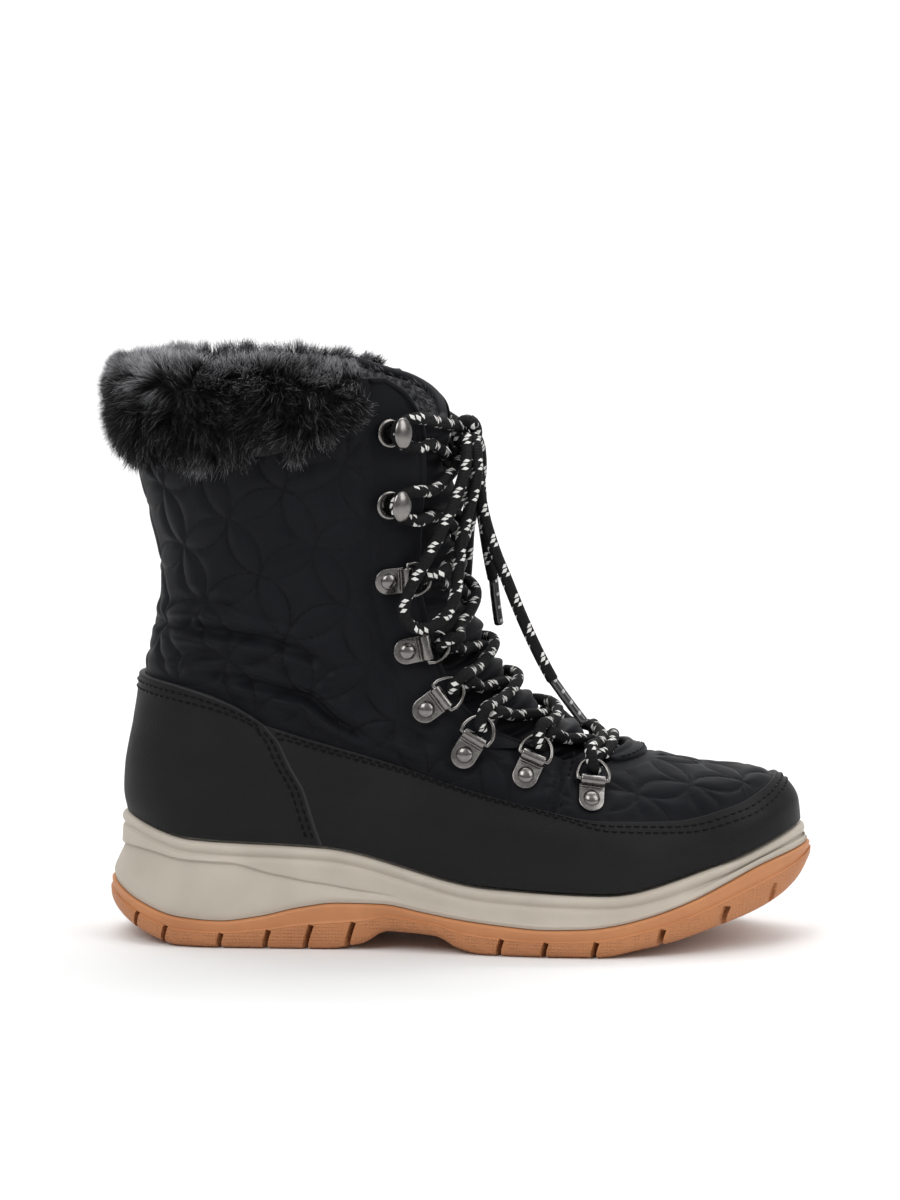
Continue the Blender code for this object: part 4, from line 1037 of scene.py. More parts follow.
def build_eyestays(nylon):
    """Smooth strips along the throat: their front edge is bound, the rear one runs out."""
    v = np.linspace(*EYESTAY_LEVELS, EYESTAY_ROWS)[:, None]
    front = THROAT(v) + EYESTAY_LAP
    wide = np.minimum(EYESTAY_WIDE, front - FUR_END_X - EYESTAY_FUR_GAP)
    x = front - wide * np.array(EYESTAY_SHARES)[None, :]
    v = np.broadcast_to(v, x.shape)
    turn = turn_at_x(x, v)
    for name, side in SIDES.items():
        points = last_offset(side * turn, v, np.broadcast_to(EYESTAY_LIFTS, x.shape))
        strip = points if side < 0 else points[:, ::-1]
        add_sheet(f"eyestay_strip_{name}", strip, nylon, f"eyestay_{name}")
        edge = np.vstack([points[PIPING_FROM:, EYESTAY_RIM], points[-1, EYESTAY_RIM + 1:]])
        add_piping(f"eyestay_piping_{name}", smooth_route(edge, PIPING_STEP), PIPING_RADIUS, nylon)


# Band of the throat: shares from its front edge back, and the lift at each
BAND_SHARES = (0.0, 0.03, 0.1, 0.3, 0.55, 0.66, 0.74, 0.88, 0.96, 1.0)
BAND_LIFTS = (0.1, 1.0, 1.55, 1.85, 1.8, 1.35, 1.85, 2.1, 1.4, 0.0)
BAND_BACK = (6.1, -2.6)
BAND_SHIFT = 0.16
BAND_STITCH = 0.22
BAND_STITCH_ENDS = slice(14, -14)
BAND_COLUMNS = 120
BAND_EDGE = 0.1
BAND_END = 0.02
BAND_LAP = 0.11


def build_throat_overlay(nylon):
    """Bound band round the base of the throat, its front edge a rounded U."""
    half = 1 - float(turn_at_x(THROAT_OVERLAY_X, THROAT_BASE))
    least, more = THROAT_OVERLAY_DEEP
    along = np.sin(np.linspace(-0.5, 0.5, BAND_COLUMNS) * np.pi)
    low = THROAT_OVERLAY_TOP + BAND_SHIFT - least - more * np.sqrt(1 - along ** 4)
    top = THROAT_OVERLAY_TOP + BAND_SHIFT + BAND_LAP
    shares, lifts = np.array(BAND_SHARES)[:, None], np.array(BAND_LIFTS)[:, None]
    back_v, back_out = np.tile(np.array(BAND_BACK)[:, None, None], (1, 1, BAND_COLUMNS))
    v = np.vstack([low + (top - low) * shares, back_v])
    out = BAND_EDGE + (lifts - BAND_EDGE) * smooth((1 - np.abs(along)) / BAND_END)
    turn = np.broadcast_to(1 + half * along, v.shape)
    points = last_offset(turn, v, np.vstack([out, back_out]))
    add_sheet("throat_band", points, nylon, "throat_overlay")
    return turn[0, BAND_STITCH_ENDS], (low + (top - low) * BAND_STITCH)[BAND_STITCH_ENDS]


TONGUE_LEVELS = (5.2, 14.2)
TONGUE_RISES = {"lateral": (-0.25, 0.5), "medial": (1.05, 0.75)}
BELLOWS_TALL = 5.0
BELLOWS_DEEP = 4.2
BELLOWS_END = 0.86
BELLOWS_FADE = 0.3
PLEAT_TALL = 0.45
PLEAT_SWAY = 2.2
TONGUE_GRID = (340, 110)
TONGUE_BACK_GRID = (60, 60)
BINDING_COLUMNS = 80
BINDING_STEP = 1.5
BINDING_RADIUS = TONGUE_THICK / 2 + 0.35


def tongue_grid(rows, columns, out, stops, relief):
    """Points of one face of the tongue, its top edge raised at both sides."""
    share = np.linspace(0, 1, rows)[:, None]
    side = np.linspace(-1, 1, columns)[None, :]
    rises = [rise * np.abs(side) ** power for rise, power in TONGUE_RISES.values()]
    top = TONGUE_LEVELS[1] + np.where(side > 0, *rises)
    v = TONGUE_LEVELS[0] + (top - TONGUE_LEVELS[0]) * share
    half = 1 - throat_turn(v) + TONGUE_TUCK
    levels = [s[1] for s in stops]
    knots = sorted(levels + [(a + b) / 2 for a, b in zip(levels, levels[1:])])
    phase = np.interp(v, knots, np.arange(len(knots)) / 2)
    fold = BELLOWS_TALL * (0.5 + 0.5 * np.cos(2 * np.pi * phase)) - BELLOWS_DEEP
    fold = fold + PLEAT_TALL * np.cos(8 * np.pi * phase + PLEAT_SWAY * np.sin(3.0 * side))
    fold = fold * smooth((BELLOWS_END - np.abs(side)) / BELLOWS_FADE)
    lift = -TONGUE_UNDER - out + (fold if relief else np.minimum(fold, 0.0))
    return last_offset(1 + half * side, v, lift)


def build_tongue(nylon, pile, stops):
    """Tongue with a bellows fold between each pair of lace rows, pile behind it and a bound top."""
    add_sheet("tongue_face", tongue_grid(*TONGUE_GRID, 0.0, stops, True), nylon, "tongue")
    rear = tongue_grid(*TONGUE_BACK_GRID, TONGUE_THICK, stops, False)
    add_sheet("tongue_pile", rear[:, ::-1], pile)
    front, back = [tongue_grid(2, BINDING_COLUMNS, out, stops, False)[1] for out in (0.0, TONGUE_THICK)]
    rim = smooth_route((front + back) / 2, BINDING_STEP)
    add_piping("tongue_binding", rim, BINDING_RADIUS, nylon)


# Fur: level and distance round the section of its roll, from the lower edge up and over
FUR_SECTION = (
    (13.48, 0.9), (13.38, 2.6), (13.7, 4.3), (14.15, 5.2), (14.7, 5.2),
    (15.0, 4.3), (15.2, 1.6), (15.2, -2.0), (15.0, -3.0))
FUR_TAPER = 1.2
FUR_TAPER_FROM = 0.68
FUR_BASE_GRID = (26, 120)
FUR_STRANDS = 32000
FUR_LOCKS = 300
FUR_SEED = 11
FUR_LAY_AROUND = (0.0, 0.2, 0.42, 0.6, 0.95)
FUR_LAY = (-1.6, -1.2, -0.5, 0.35, 0.8)
# Paleness of the hairs round the roll: pale tips at the lower edge and the top, and painted shade darkening
# the valley in the middle
FUR_TONE_AROUND = (0.0, 0.14, 0.32, 0.48, 0.62, 0.97)
FUR_TIPS_AND_SHADE = (0.85, 0.5, 0.1, 0.18, 1.4, 2.4)
STRAND_POINTS = 4


def strand_sheet(sheets, roots, tips, bends, widths, tones, rng):
    """Tapered ribbons from roots to tips, each bent by a vector at its middle."""
    count = len(roots)
    t = np.linspace(0, 1, STRAND_POINTS)
    path = (roots[:, None] * (1 - t)[None, :, None] ** 2 + tips[:, None] * t[None, :, None] ** 2
            + 2 * (t * (1 - t))[None, :, None] * ((roots + tips) / 2 + bends)[:, None])
    along = unit(tips - roots)
    spin = unit(np.cross(along, rng.normal(size=(count, 3))))
    half = widths[:, None, None] * (1 - t ** 1.5 * 0.92)[None, :, None] / 2
    ribbon = np.stack([path - spin[:, None] * half, path + spin[:, None] * half], axis=2)
    quads = np.arange(count)[:, None, None] * STRAND_POINTS * 2
    step = np.arange(STRAND_POINTS - 1)[None, :, None] * 2
    faces = (quads + step + np.array((0, 1, 3, 2))[None, None, :]).reshape(-1, 4)
    uv_points = np.stack(np.broadcast_arrays(tones[:, None, None], t[None, :, None]), axis=-1)
    uv_points = np.broadcast_to(uv_points, (count, STRAND_POINTS, 2, 2)).reshape(-1, 2)
    sheets.points.append(ribbon.reshape(-1, 3))
    sheets.faces.append(faces + sheets.count)
    sheets.spots.append(uv_points[faces.ravel()])
    sheets.count += count * STRAND_POINTS * 2


def fur_place(along, around):
    """Turn, level and distance of places on the fur's roll: along -1 to 1, around 0 to 1."""
    end = float(turn_at_x(FUR_END_X, 14.4))
    steps = np.linspace(0, 1, len(FUR_SECTION))
    v = np.interp(around, steps, [s[0] for s in FUR_SECTION])
    end_part = np.clip((np.abs(along) - FUR_TAPER_FROM) / (1 - FUR_TAPER_FROM), 0, 1)
    v = v + FUR_TAPER * end_part ** 1.5 * np.clip(1 - around / 0.5, 0, 1)
    out = np.interp(around, steps, [s[1] for s in FUR_SECTION])
    return end * along, v, out


def fur_roots(along, around):
    """Points of the fur's roll and the way the hairs leave it."""
    turn, v, out = fur_place(along, around)
    points = last_offset(turn, v, out)
    ahead = last_offset(*fur_place(along, np.minimum(around + 0.02, 1.0)))
    behind = last_offset(*fur_place(along, np.maximum(around - 0.02, 0.0)))
    side = last_point(turn + 0.004, v) - last_point(turn - 0.004, v)
    away = unit(np.cross(ahead - behind, side))
    return points, away, unit(ahead - behind), unit(side)


def fur_locks(rng):
    """Locks that the hairs gather into: roots, ways, shares of length, tips and tones."""
    along = rng.uniform(-1, 1, FUR_LOCKS)
    around = rng.uniform(0.0, 0.95, FUR_LOCKS)
    roots, away, up, side = fur_roots(along, around)
    lay = np.interp(around, FUR_LAY_AROUND, FUR_LAY) + rng.normal(0, 0.25, FUR_LOCKS)
    swirl = 0.6 * np.sin(9.0 * along + 7.0 * around) + 0.5 * np.sin(21.0 * along - 5.0 * around)
    front = np.clip((np.abs(along) - 0.8) / 0.2, 0, 1) * np.sign(along)
    swirl = swirl + 1.1 * front + rng.normal(0, 0.3, FUR_LOCKS)
    ways = unit(away * 0.8 + up * lay[:, None] + side * swirl[:, None])
    shorter_ends = 0.4 * np.clip((np.abs(along) - 0.75) / 0.25, 0, 1)
    shorter_back = 0.25 * np.clip(1 - np.abs(along) / 0.3, 0, 1)
    short = 1 - shorter_ends - shorter_back - 0.12 * (around > 0.5)
    tips = roots + ways * (short * rng.uniform(8.0, 11.0, FUR_LOCKS))[:, None]
    return roots, ways, short, tips, rng.normal(0, 0.12, FUR_LOCKS)


def build_fur(felt, fur):
    """Deep fur round the collar: a dark roll and combed hairs that gather into locks."""
    rng = np.random.default_rng(FUR_SEED)
    rows, columns = FUR_BASE_GRID
    along, around = np.meshgrid(np.linspace(-1, 1, columns), np.linspace(0, 1, rows))
    add_sheet("fur_base", fur_roots(along, around)[0], felt, "fur_cuff")
    lock_roots, lock_ways, short, lock_tips, lock_tones = fur_locks(rng)
    tree = kdtree.KDTree(FUR_LOCKS)
    for k, point in enumerate(lock_roots):
        tree.insert(Vector(point), k)
    tree.balance()
    for name in ("fur_hairs_1", "fur_hairs_2"):
        along = rng.uniform(-1, 1, FUR_STRANDS)
        around = rng.uniform(0.0, 0.97, FUR_STRANDS)
        roots, away, _, _ = fur_roots(along, around)
        owner = np.array([tree.find(Vector(p))[1] for p in roots])
        length = rng.uniform(6.5, 11.5, FUR_STRANDS) * short[owner]
        ways = unit(lock_ways[owner] * 0.75 + away * 0.2 + rng.normal(0, 0.28, (FUR_STRANDS, 3)))
        pull = rng.uniform(0.0, 0.3, FUR_STRANDS)[:, None]
        tips = (roots + ways * length[:, None]) * (1 - pull) + lock_tips[owner] * pull
        bends = away * rng.uniform(0.5, 2.0, FUR_STRANDS)[:, None]
        bends = bends + rng.normal(0, 0.5, (FUR_STRANDS, 3))
        # Painted shade: pockets of darker hairs across the fur, on top of the darker middle of the roll
        shade_pocket = np.sin(6.5 * along + 1.0) * np.sin(15.0 * along + 6.0 * around)
        pale = np.interp(around, FUR_TONE_AROUND, FUR_TIPS_AND_SHADE) * (1 + 0.6 * shade_pocket)
        pale = np.clip(pale + lock_tones[owner], 0, 2.6)
        light = rng.random(FUR_STRANDS) < 0.1 + 0.45 * pale
        bright = rng.uniform(0.45, 1.15, FUR_STRANDS)
        dull = rng.uniform(0.0, 0.06, FUR_STRANDS)
        tones = np.clip(np.where(light, bright, dull) * (0.45 + 0.6 * pale), 0.02, 1.4)
        widths = rng.uniform(0.16, 0.34, FUR_STRANDS)
        sheets = Sheets()
        strand_sheet(sheets, roots, tips, bends, widths, tones, rng)
        add_piece(name, sheets.mesh(name), fur)


PILE_STRANDS = 5200
PILE_SEED = 5
PILE_AXIS_X = 30.0
PILE_GRID = (60, 120)
PILE_FIRST_ROW = 42
PILE_UP = 0.9


def build_pile_hairs(fur, stops):
    """Short pile that shows inside the tongue's top."""
    rng = np.random.default_rng(PILE_SEED)
    grid = tongue_grid(*PILE_GRID, TONGUE_THICK, stops, False)
    rows = PILE_FIRST_ROW + rng.integers(0, PILE_GRID[0] - PILE_FIRST_ROW - 1, PILE_STRANDS)
    columns = rng.integers(0, PILE_GRID[1] - 1, PILE_STRANDS)
    mix = rng.uniform(0, 1, (PILE_STRANDS, 2))
    corner = grid[rows, columns]
    aside = grid[rows, columns + 1] - corner
    up = grid[rows + 1, columns] - corner
    roots = corner + aside * mix[:, :1] + up * mix[:, 1:]
    inward = unit(np.cross(aside, up))
    toward = (np.array((PILE_AXIS_X, 0.0, 0.0)) - roots) * (1, 1, 0)
    inward = inward * np.sign((inward * toward).sum(axis=1, keepdims=True))
    ways = unit(inward + np.array((0, 0, PILE_UP)) + rng.normal(0, 0.4, (PILE_STRANDS, 3)))
    tips = roots + ways * rng.uniform(2.2, 4.2, PILE_STRANDS)[:, None]
    bends = rng.normal(0, 0.3, (PILE_STRANDS, 3))
    widths = rng.uniform(0.25, 0.4, PILE_STRANDS)
    tones = rng.uniform(0.2, 1, PILE_STRANDS)
    sheets = Sheets()
    strand_sheet(sheets, roots, tips, bends, widths, tones, rng)
    add_piece("tongue_pile_hairs", sheets.mesh("tongue_pile_hairs"), fur)


STITCH_LONG = 2.5
STITCH_PITCH = 3.3
STITCH_RADIUS = 0.42
STITCH_POINTS = 6
STITCH_INSETS = (2.9, 5.5)
BAND_STITCH_OUT = 1.75
SEAM_STITCH_OUT = 0.75
SEAM_STITCH_AHEAD = 3.0


def stitch_row(sheets, turn, v, out):
    """Stitches along a row of places of the upper, at a distance from its face."""
    points = last_offset(turn, v, np.full(turn.shape, out))
    normals = last_normal(turn, v)
    lengths = path_lengths(points)

    def at(values, want):
        return np.stack([np.interp(want, lengths, values[:, k]) for k in range(3)], axis=-1)

    shares = np.linspace(0, 1, STITCH_POINTS)
    sinks = -0.25 + 0.45 * np.sin(np.pi * shares) ** 0.5
    thick = STITCH_RADIUS * (0.55 + 0.45 * np.sin(np.pi * shares))
    for start in np.arange(1.0, lengths[-1] - STITCH_LONG, STITCH_PITCH):
        want = start + shares * STITCH_LONG
        route = at(points, want) + unit(at(normals, want)) * sinks[:, None]
        sheets.grid(*tube_grid(route, thick, sides=6, capped=False), closed=True)


def level_speed(turn, v):
    return np.linalg.norm(last_point(turn, v + 0.05) - last_point(turn, v - 0.05), axis=-1) / 0.1


def turn_speed(turn, v):
    return np.linalg.norm(last_point(turn + 0.003, v) - last_point(turn - 0.003, v), axis=-1) / 0.006


def build_stitches(thread, rand, counter, band):
    """Two rows of stitches along the rand's top and round the counter's edges, one in the band
    and one beside each side seam."""
    sheets = Sheets()
    stitch_row(sheets, *band, BAND_STITCH_OUT)
    z = np.linspace(SEAM_FOOT[1] - 1, SEAM_TOP_Z - 2, 20)
    turn, v = side_view_place(SEAM_FOOT[0] + (z - SEAM_FOOT[1]) * SEAM_SLOPE + SEAM_STITCH_AHEAD, z)
    for side in SIDES.values():
        stitch_row(sheets, side * turn, v, SEAM_STITCH_OUT)
    along, tops = rand
    across, top = counter
    levels = np.linspace(0.35, float(np.interp(1.0, across, top)) - 0.15, 40)
    across, top = across[6:-6], top[6:-6]
    for inset in STITCH_INSETS:
        rows = []
        for side in SIDES.values():
            edge = counter_edge_turn(tops[side], 1.0)
            turn = side * (edge + (1 - edge) * along)
            rows.append((turn, tops[side] - inset / level_speed(turn, tops[side])))
        (outer_turn, outer_v), (inner_turn, inner_v) = rows
        turn = np.concatenate([outer_turn, inner_turn[::-1][1:] - 2])
        stitch_row(sheets, turn, np.concatenate([outer_v, inner_v[::-1][1:]]), RAND_OUT)
        edge = counter_edge_turn(levels, 0.0)
        for side in SIDES.values():
            turn = side * (edge - inset / turn_speed(side * edge, levels))
            stitch_row(sheets, turn, levels, COUNTER_OUT)
        turn = across * counter_edge_turn(top, 0.0)
        stitch_row(sheets, turn, top - inset / level_speed(turn, top), COUNTER_OUT)
    add_piece("seam_stitches", sheets.mesh("seam_stitches"), thread)


SOLE_COLUMNS = 130
SOLE_SHARP = math.radians(40.0)
LUG_BEVEL = 0.35
LUG_BEVEL_ANGLE = math.radians(50.0)


def sole_half(share, side):
    """Half width of the sole at shares of its length, and what its round ends leave of it."""
    outer, inner = [knot_line(SOLE_STATIONS, row, share) for row in (SOLE_OUTER, SOLE_INNER)]
    whole = SOLE_FRONT - SOLE_BACK
    ends = round_end(share * whole / HEEL_ROUND) * round_end((1 - share) * whole / TOE_ROUND)
    return np.where(side < 0, outer, inner), ends


def sole_ring(inset, height):
    """Closed ring of the sole's outline, drawn in by inset(x), at height(x)."""
    back = SOLE_BACK + float(inset(SOLE_BACK))
    length = SOLE_FRONT - float(inset(SOLE_FRONT)) - back
    column = np.arange(-SOLE_COLUMNS, SOLE_COLUMNS)
    share = (1 - np.cos(np.pi * np.abs(column) / SOLE_COLUMNS)) / 2
    side = np.where(column < 0, -1.0, 1.0)
    x = back + share * length
    wide, ends = sole_half(share, side)
    return np.stack([x, CENTRE(x) + side * (wide - inset(x)) * ends, height(x)], axis=-1)


def feather(x):
    """Height of the midsole's top, which follows the upper's lowest level."""
    low = LEVELS[0]
    share = (x - low[BACK_X]) / (low[FRONT_X] - low[BACK_X])
    return knot_line(STATIONS, low[HEIGHTS], np.clip(share, 0, 1)) - UPPER_SEAT


def flat_inset(value):
    return lambda x: np.full(np.shape(x), value)


def stack_mesh(name, specs, finer):
    """Closed solid through rings of the sole, with finer rings between them, capped at both ends."""
    rings = np.array([sole_ring(inset, height) for inset, height in specs])
    places = np.linspace(0, len(rings) - 1, (len(rings) - 1) * finer + 1)
    table = np.moveaxis(rings, 0, -1)
    fine = np.stack([knot_line(np.arange(len(rings)), table, np.full(table.shape[:-1], p)) for p in places])
    columns = fine.shape[1]
    middle = columns // 2
    shape = bmesh.new()
    layer = shape.loops.layers.uv.new("UVMap")
    made = [[shape.verts.new(Vector(p) * MM) for p in ring] for ring in fine]
    for k, (low, high) in enumerate(zip(made, made[1:])):
        for i in range(columns):
            j = (i + 1) % columns
            face = shape.faces.new((low[i], low[j], high[j], high[i]))
            for loop, share in zip(face.loops, (k, k, k + 1, k + 1)):
                loop[layer].uv = (i / columns, share / (len(made) - 1))
    for ring in (made[0], made[-1]):
        for i in range(middle):
            around = (middle - i, middle - i - 1, (middle + i + 1) % columns, (middle + i) % columns)
            corners = [ring[place] for place in around]
            shape.faces.new([c for k, c in enumerate(corners) if c is not corners[k - 1]])
    bmesh.ops.recalc_face_normals(shape, faces=shape.faces)
    mesh = bpy.data.meshes.new(name)
    shape.to_mesh(mesh)
    shape.free()
    mesh.shade_smooth()
    mesh.set_sharp_from_angle(angle=SOLE_SHARP)
    return mesh


def build_midsole(foam):
    """Foam midsole: a rim with a groove under it, a crease along the heel and a flared foot."""
    def at_share(share, lift=0.0):
        def height(x):
            foot = OUTSOLE_TOP(x) + SEAT_GAP
            part = share(x) if callable(share) else share
            return foot + part * (feather(x) - foot) + lift

        return height

    def below_top(drop):
        return lambda x: feather(x) - drop

    def drawn(draw, more):
        return lambda x: draw(x) + more

    specs = (
        (flat_inset(0.6), at_share(0.0)),
        (flat_inset(0.2), at_share(0.1)),
        (drawn(CREASE_DRAW, -0.3), at_share(CREASE, -0.9)),
        (CREASE_DRAW, at_share(CREASE)),
        (drawn(SIDE_DRAW, -0.3), at_share(CREASE, 0.9)),
        (drawn(SIDE_DRAW, 0.1), below_top(RIM_TALL + RIM_GROOVE_TALL + 0.6)),
        (drawn(SIDE_DRAW, 0.95), below_top(RIM_TALL + RIM_GROOVE_TALL / 2)),
        (drawn(SIDE_DRAW, 0.15), below_top(RIM_TALL - 0.8)),
        (drawn(SIDE_DRAW, -0.1), below_top(RIM_TALL - 1.9)),
        (drawn(SIDE_DRAW, 0.25), below_top(0.8)),
        (drawn(SIDE_DRAW, 1.3), feather),
    )
    add_piece("midsole_foam", stack_mesh("midsole_foam", specs, 4), foam, "midsole")


def lug_grooves():
    """Blocks that cut the grooves between the outsole's edge lugs, as one object."""
    shape = bmesh.new()
    lean = Matrix.Rotation(math.radians(GROOVE_LEAN), 4, "Y")
    for x in GROOVES_X:
        share = (x - SOLE_BACK) / (SOLE_FRONT - SOLE_BACK)
        top = float(TREAD(x) + GROOVE_SHARE * (OUTSOLE_TOP(x) - TREAD(x)))
        for side in SIDES.values():
            wide, ends = sole_half(share, side)
            edge = float(CENTRE(x)) + side * float(wide) * float(ends)
            turn = Matrix.Rotation(math.radians(GROOVE_TURN) * side, 4, "Z")
            size = Matrix.Diagonal((GROOVE_WIDE * MM, GROOVE_DEEP * MM, (top - GROOVE_BELOW) * MM, 1.0))
            place = Matrix.Translation(Vector((x, edge, (top + GROOVE_BELOW) / 2)) * MM)
            bmesh.ops.create_cube(shape, size=1.0, matrix=place @ turn @ lean @ size)
    mesh = bpy.data.meshes.new("lug_grooves")
    shape.to_mesh(mesh)
    shape.free()
    return bpy.data.objects.new("lug_grooves", mesh)


def build_outsole(gum):
    """Rubber outsole with an arch, toe spring, a smooth upper band and lugs round its edge."""
    def at_share(share):
        return lambda x: TREAD(x) + share * (OUTSOLE_TOP(x) - TREAD(x))

    specs = (
        (flat_inset(2.4), TREAD),
        (flat_inset(0.1), lambda x: TREAD(x) + 1.2),
        (flat_inset(-1.1), at_share(0.34)),
        (flat_inset(-1.25), at_share(0.58)),
        (flat_inset(-0.45), at_share(0.63)),
        (flat_inset(-0.7), at_share(0.8)),
        (flat_inset(-0.75), lambda x: OUTSOLE_TOP(x) - 0.9),
        (flat_inset(0.6), OUTSOLE_TOP),
    )
    body = bpy.data.objects.new("outsole_cut", stack_mesh("outsole_rubber", specs, 3))
    cutter = lug_grooves()
    for spare in (cutter, body):
        bpy.context.scene.collection.objects.link(spare)
    cut = body.modifiers.new("lugs", "BOOLEAN")
    cut.operation = "DIFFERENCE"
    cut.solver = "EXACT"
    cut.object = cutter
    soften = body.modifiers.new("edges", "BEVEL")
    soften.width = LUG_BEVEL * MM
    soften.segments = 2
    soften.limit_method = "ANGLE"
    soften.angle_limit = LUG_BEVEL_ANGLE
    bpy.context.view_layer.update()
    mesh = bpy.data.meshes.new_from_object(body.evaluated_get(bpy.context.evaluated_depsgraph_get()))
    mesh.name = "outsole_rubber_cut"
    for spare in (body, cutter):
        bpy.data.objects.remove(spare, do_unlink=True)
    mesh.materials.clear()
    add_piece("outsole_rubber", mesh, gum, "outsole")


def surface_frame(turn, v, toward, seat):
    """Frame on the upper: X along the way to a second place, Z outward, origin above the face."""
    origin = last_offset(turn, v, np.float64(seat))
    out = last_normal(turn, v)
    along = last_point(*toward) - last_point(turn, v)
    along = unit(along - out * np.dot(along, out))
    return origin, along, np.cross(out, along), out


def frame_points(axes, points):
    """Points given in a frame, as points of the boot."""
    origin, along, across, out = axes
    points = np.asarray(points, float)
    return origin + points[:, :1] * along + points[:, 1:2] * across + points[:, 2:] * out


def frame_matrix(axes):
    origin, along, across, out = axes
    rows = [(along[k], across[k], out[k], origin[k] * MM) for k in range(3)]
    return Matrix(rows + [(0, 0, 0, 1)])


def ring_frame(row, side):
    turn, v = side_view_place(row[0], row[1])
    tip_turn, tip_v = side_view_place(row[2], row[3])
    seat = OVERLAY_GAP + (EYESTAY_OUT - OVERLAY_GAP + HARDWARE_SEAT if v > STRIP_SEAT_LEVEL else 0.0)
    return surface_frame(side * turn, v, (side * tip_turn, tip_v), seat)


def hook_frame(z, side):
    turn, v = side_view_place(HOOK_X, z)
    return surface_frame(side * turn, v, (side * (turn + 0.05), v), EYESTAY_OUT + HARDWARE_SEAT)


def lathe(sheets, profile, sides=36, stretch=1.0, place=None):
    """Turned surface from radius and height pairs, listed from the bottom of the outer side up."""
    angles = np.arange(sides) * 2 * np.pi / sides
    rings = np.array([[(r * np.cos(a), r * np.sin(a) * stretch, h) for a in angles] for r, h in profile])
    if place is not None:
        rings = rings @ np.array(place[0]).T + np.array(place[1])
    sheets.grid(rings[:, ::-1], closed=True)


def outline_solid(sheets, outline, layers):
    """Plate from an outline: a ring for each inset and height, closed in the middle."""
    outline = np.asarray(outline, float)
    middle = outline.mean(axis=0)
    reach = np.linalg.norm(outline - middle, axis=1, keepdims=True)
    rings = []
    for inset, height in layers:
        flat = middle + (outline - middle) * np.maximum(1 - inset / reach, 0.0)
        rings.append(np.column_stack([flat, np.full(len(flat), height)]))
    sheets.grid(np.array(rings)[:, ::-1], closed=True)


PLATE_HALF = 4.9
PLATE_LAYERS = ((9, 0.0), (0.15, 0.0), (0.0, 0.18), (0.0, 0.6), (0.12, 0.75), (0.35, 0.8), (9, 0.8))
BARREL_PROFILE = (
    (0.0, -4.8), (1.7, -4.8), (2.05, -4.55), (2.1, -4.2), (2.1, 4.2), (2.05, 4.55), (1.7, 4.8), (0.0, 4.8))
RIVET_PROFILE = (
    (3.3, 0.7), (3.28, 0.95), (3.1, 1.35), (2.75, 1.75), (2.2, 2.15), (1.5, 2.42), (0.7, 2.56), (0.0, 2.6))
PLATE_END_X = -0.6
PLATE_SIDES_X = (0.5, 2.0, 3.5, 5.0, 6.4)
PLATE_RIDGES = (3.9, 5.0)
PLATE_RIDGE_Z = 0.75
PLATE_RIDGE_RADIUS = 0.42
RING_SWEEP = math.radians(78.0)
RING_SQUARE = 0.85


def plate_mesh():
    """Folded plate with a round end, two pressed ridges, a rolled barrel and a domed rivet."""
    sheets = Sheets()
    turns = np.radians(np.linspace(90, 270, 25))
    outline = [(PLATE_END_X + PLATE_HALF * math.cos(t), PLATE_HALF * math.sin(t)) for t in turns]
    outline += [(x, -PLATE_HALF) for x in PLATE_SIDES_X] + [(x, PLATE_HALF) for x in PLATE_SIDES_X[::-1]]
    outline_solid(sheets, outline, PLATE_LAYERS)
    lie = ((1, 0, 0), (0, 0, 1), (0, -1, 0))
    lathe(sheets, BARREL_PROFILE, 24, place=(lie, (BARREL_X, 0, BARREL_Z)))
    lathe(sheets, RIVET_PROFILE, 30)
    for x in PLATE_RIDGES:
        ridge = [(x, y, PLATE_RIDGE_Z) for y in np.linspace(-PLATE_HALF + 0.5, PLATE_HALF - 0.5, 8)]
        sheets.grid(*tube_grid(ridge, PLATE_RIDGE_RADIUS, sides=10), closed=True)
    return sheets.mesh("plate", weld=True)


def wire_mesh():
    """Wire D: a straight side in the barrel and a bow."""
    turns = np.linspace(-RING_SWEEP, RING_SWEEP, 40)
    reach = BARREL_X + RING_REACH * np.cos(turns) ** RING_SQUARE
    aside = RING_HALF * np.sin(turns) / math.sin(RING_SWEEP)
    straight = np.linspace(RING_HALF - 0.4, -RING_HALF + 0.4, 12)
    loop = [(x, y, BARREL_Z) for x, y in zip(reach, aside)] + [(BARREL_X, y, BARREL_Z) for y in straight]
    sheets = Sheets()
    sheets.grid(*tube_grid(loop + loop[:1], RING_WIRE, sides=12, capped=False), closed=True)
    return sheets.mesh("wire")


HOOK_BASE = (
    (5.2, 0.0), (5.5, 0.2), (5.5, 0.65), (5.2, 0.95), (4.7, 1.05),
    (2.6, 1.0), (2.1, 0.8), (1.8, 0.35), (0.0, 0.25))
HOOK_SHADED_DIMPLE = (2.1, 0.85)
HOOK_NECK = ((1.4, 0, 0.7), (3.4, 0, 0.9), (4.8, 0, 2.2), (5.0, 0, 4.2), (4.2, 0, 6.0), (2.6, 0, 7.0))
HOOK_HEAD = (
    (0.0, -0.6), (3.2, -0.55), (4.0, -0.3), (4.3, 0.1), (4.25, 0.6),
    (3.8, 1.1), (2.9, 1.6), (1.6, 1.95), (0.0, 2.1))
HOOK_HEAD_PLACE = (1.4, 0, 7.0)
HOOK_HEAD_TILT = math.radians(8)
HOOK_HEAD_STRETCH = 1.4
HOOK_NECK_RADIUS = 1.3
HOOK_NECK_STRETCH = (1.0, 1.7, 1.0)
HOOK_SIDES = 40


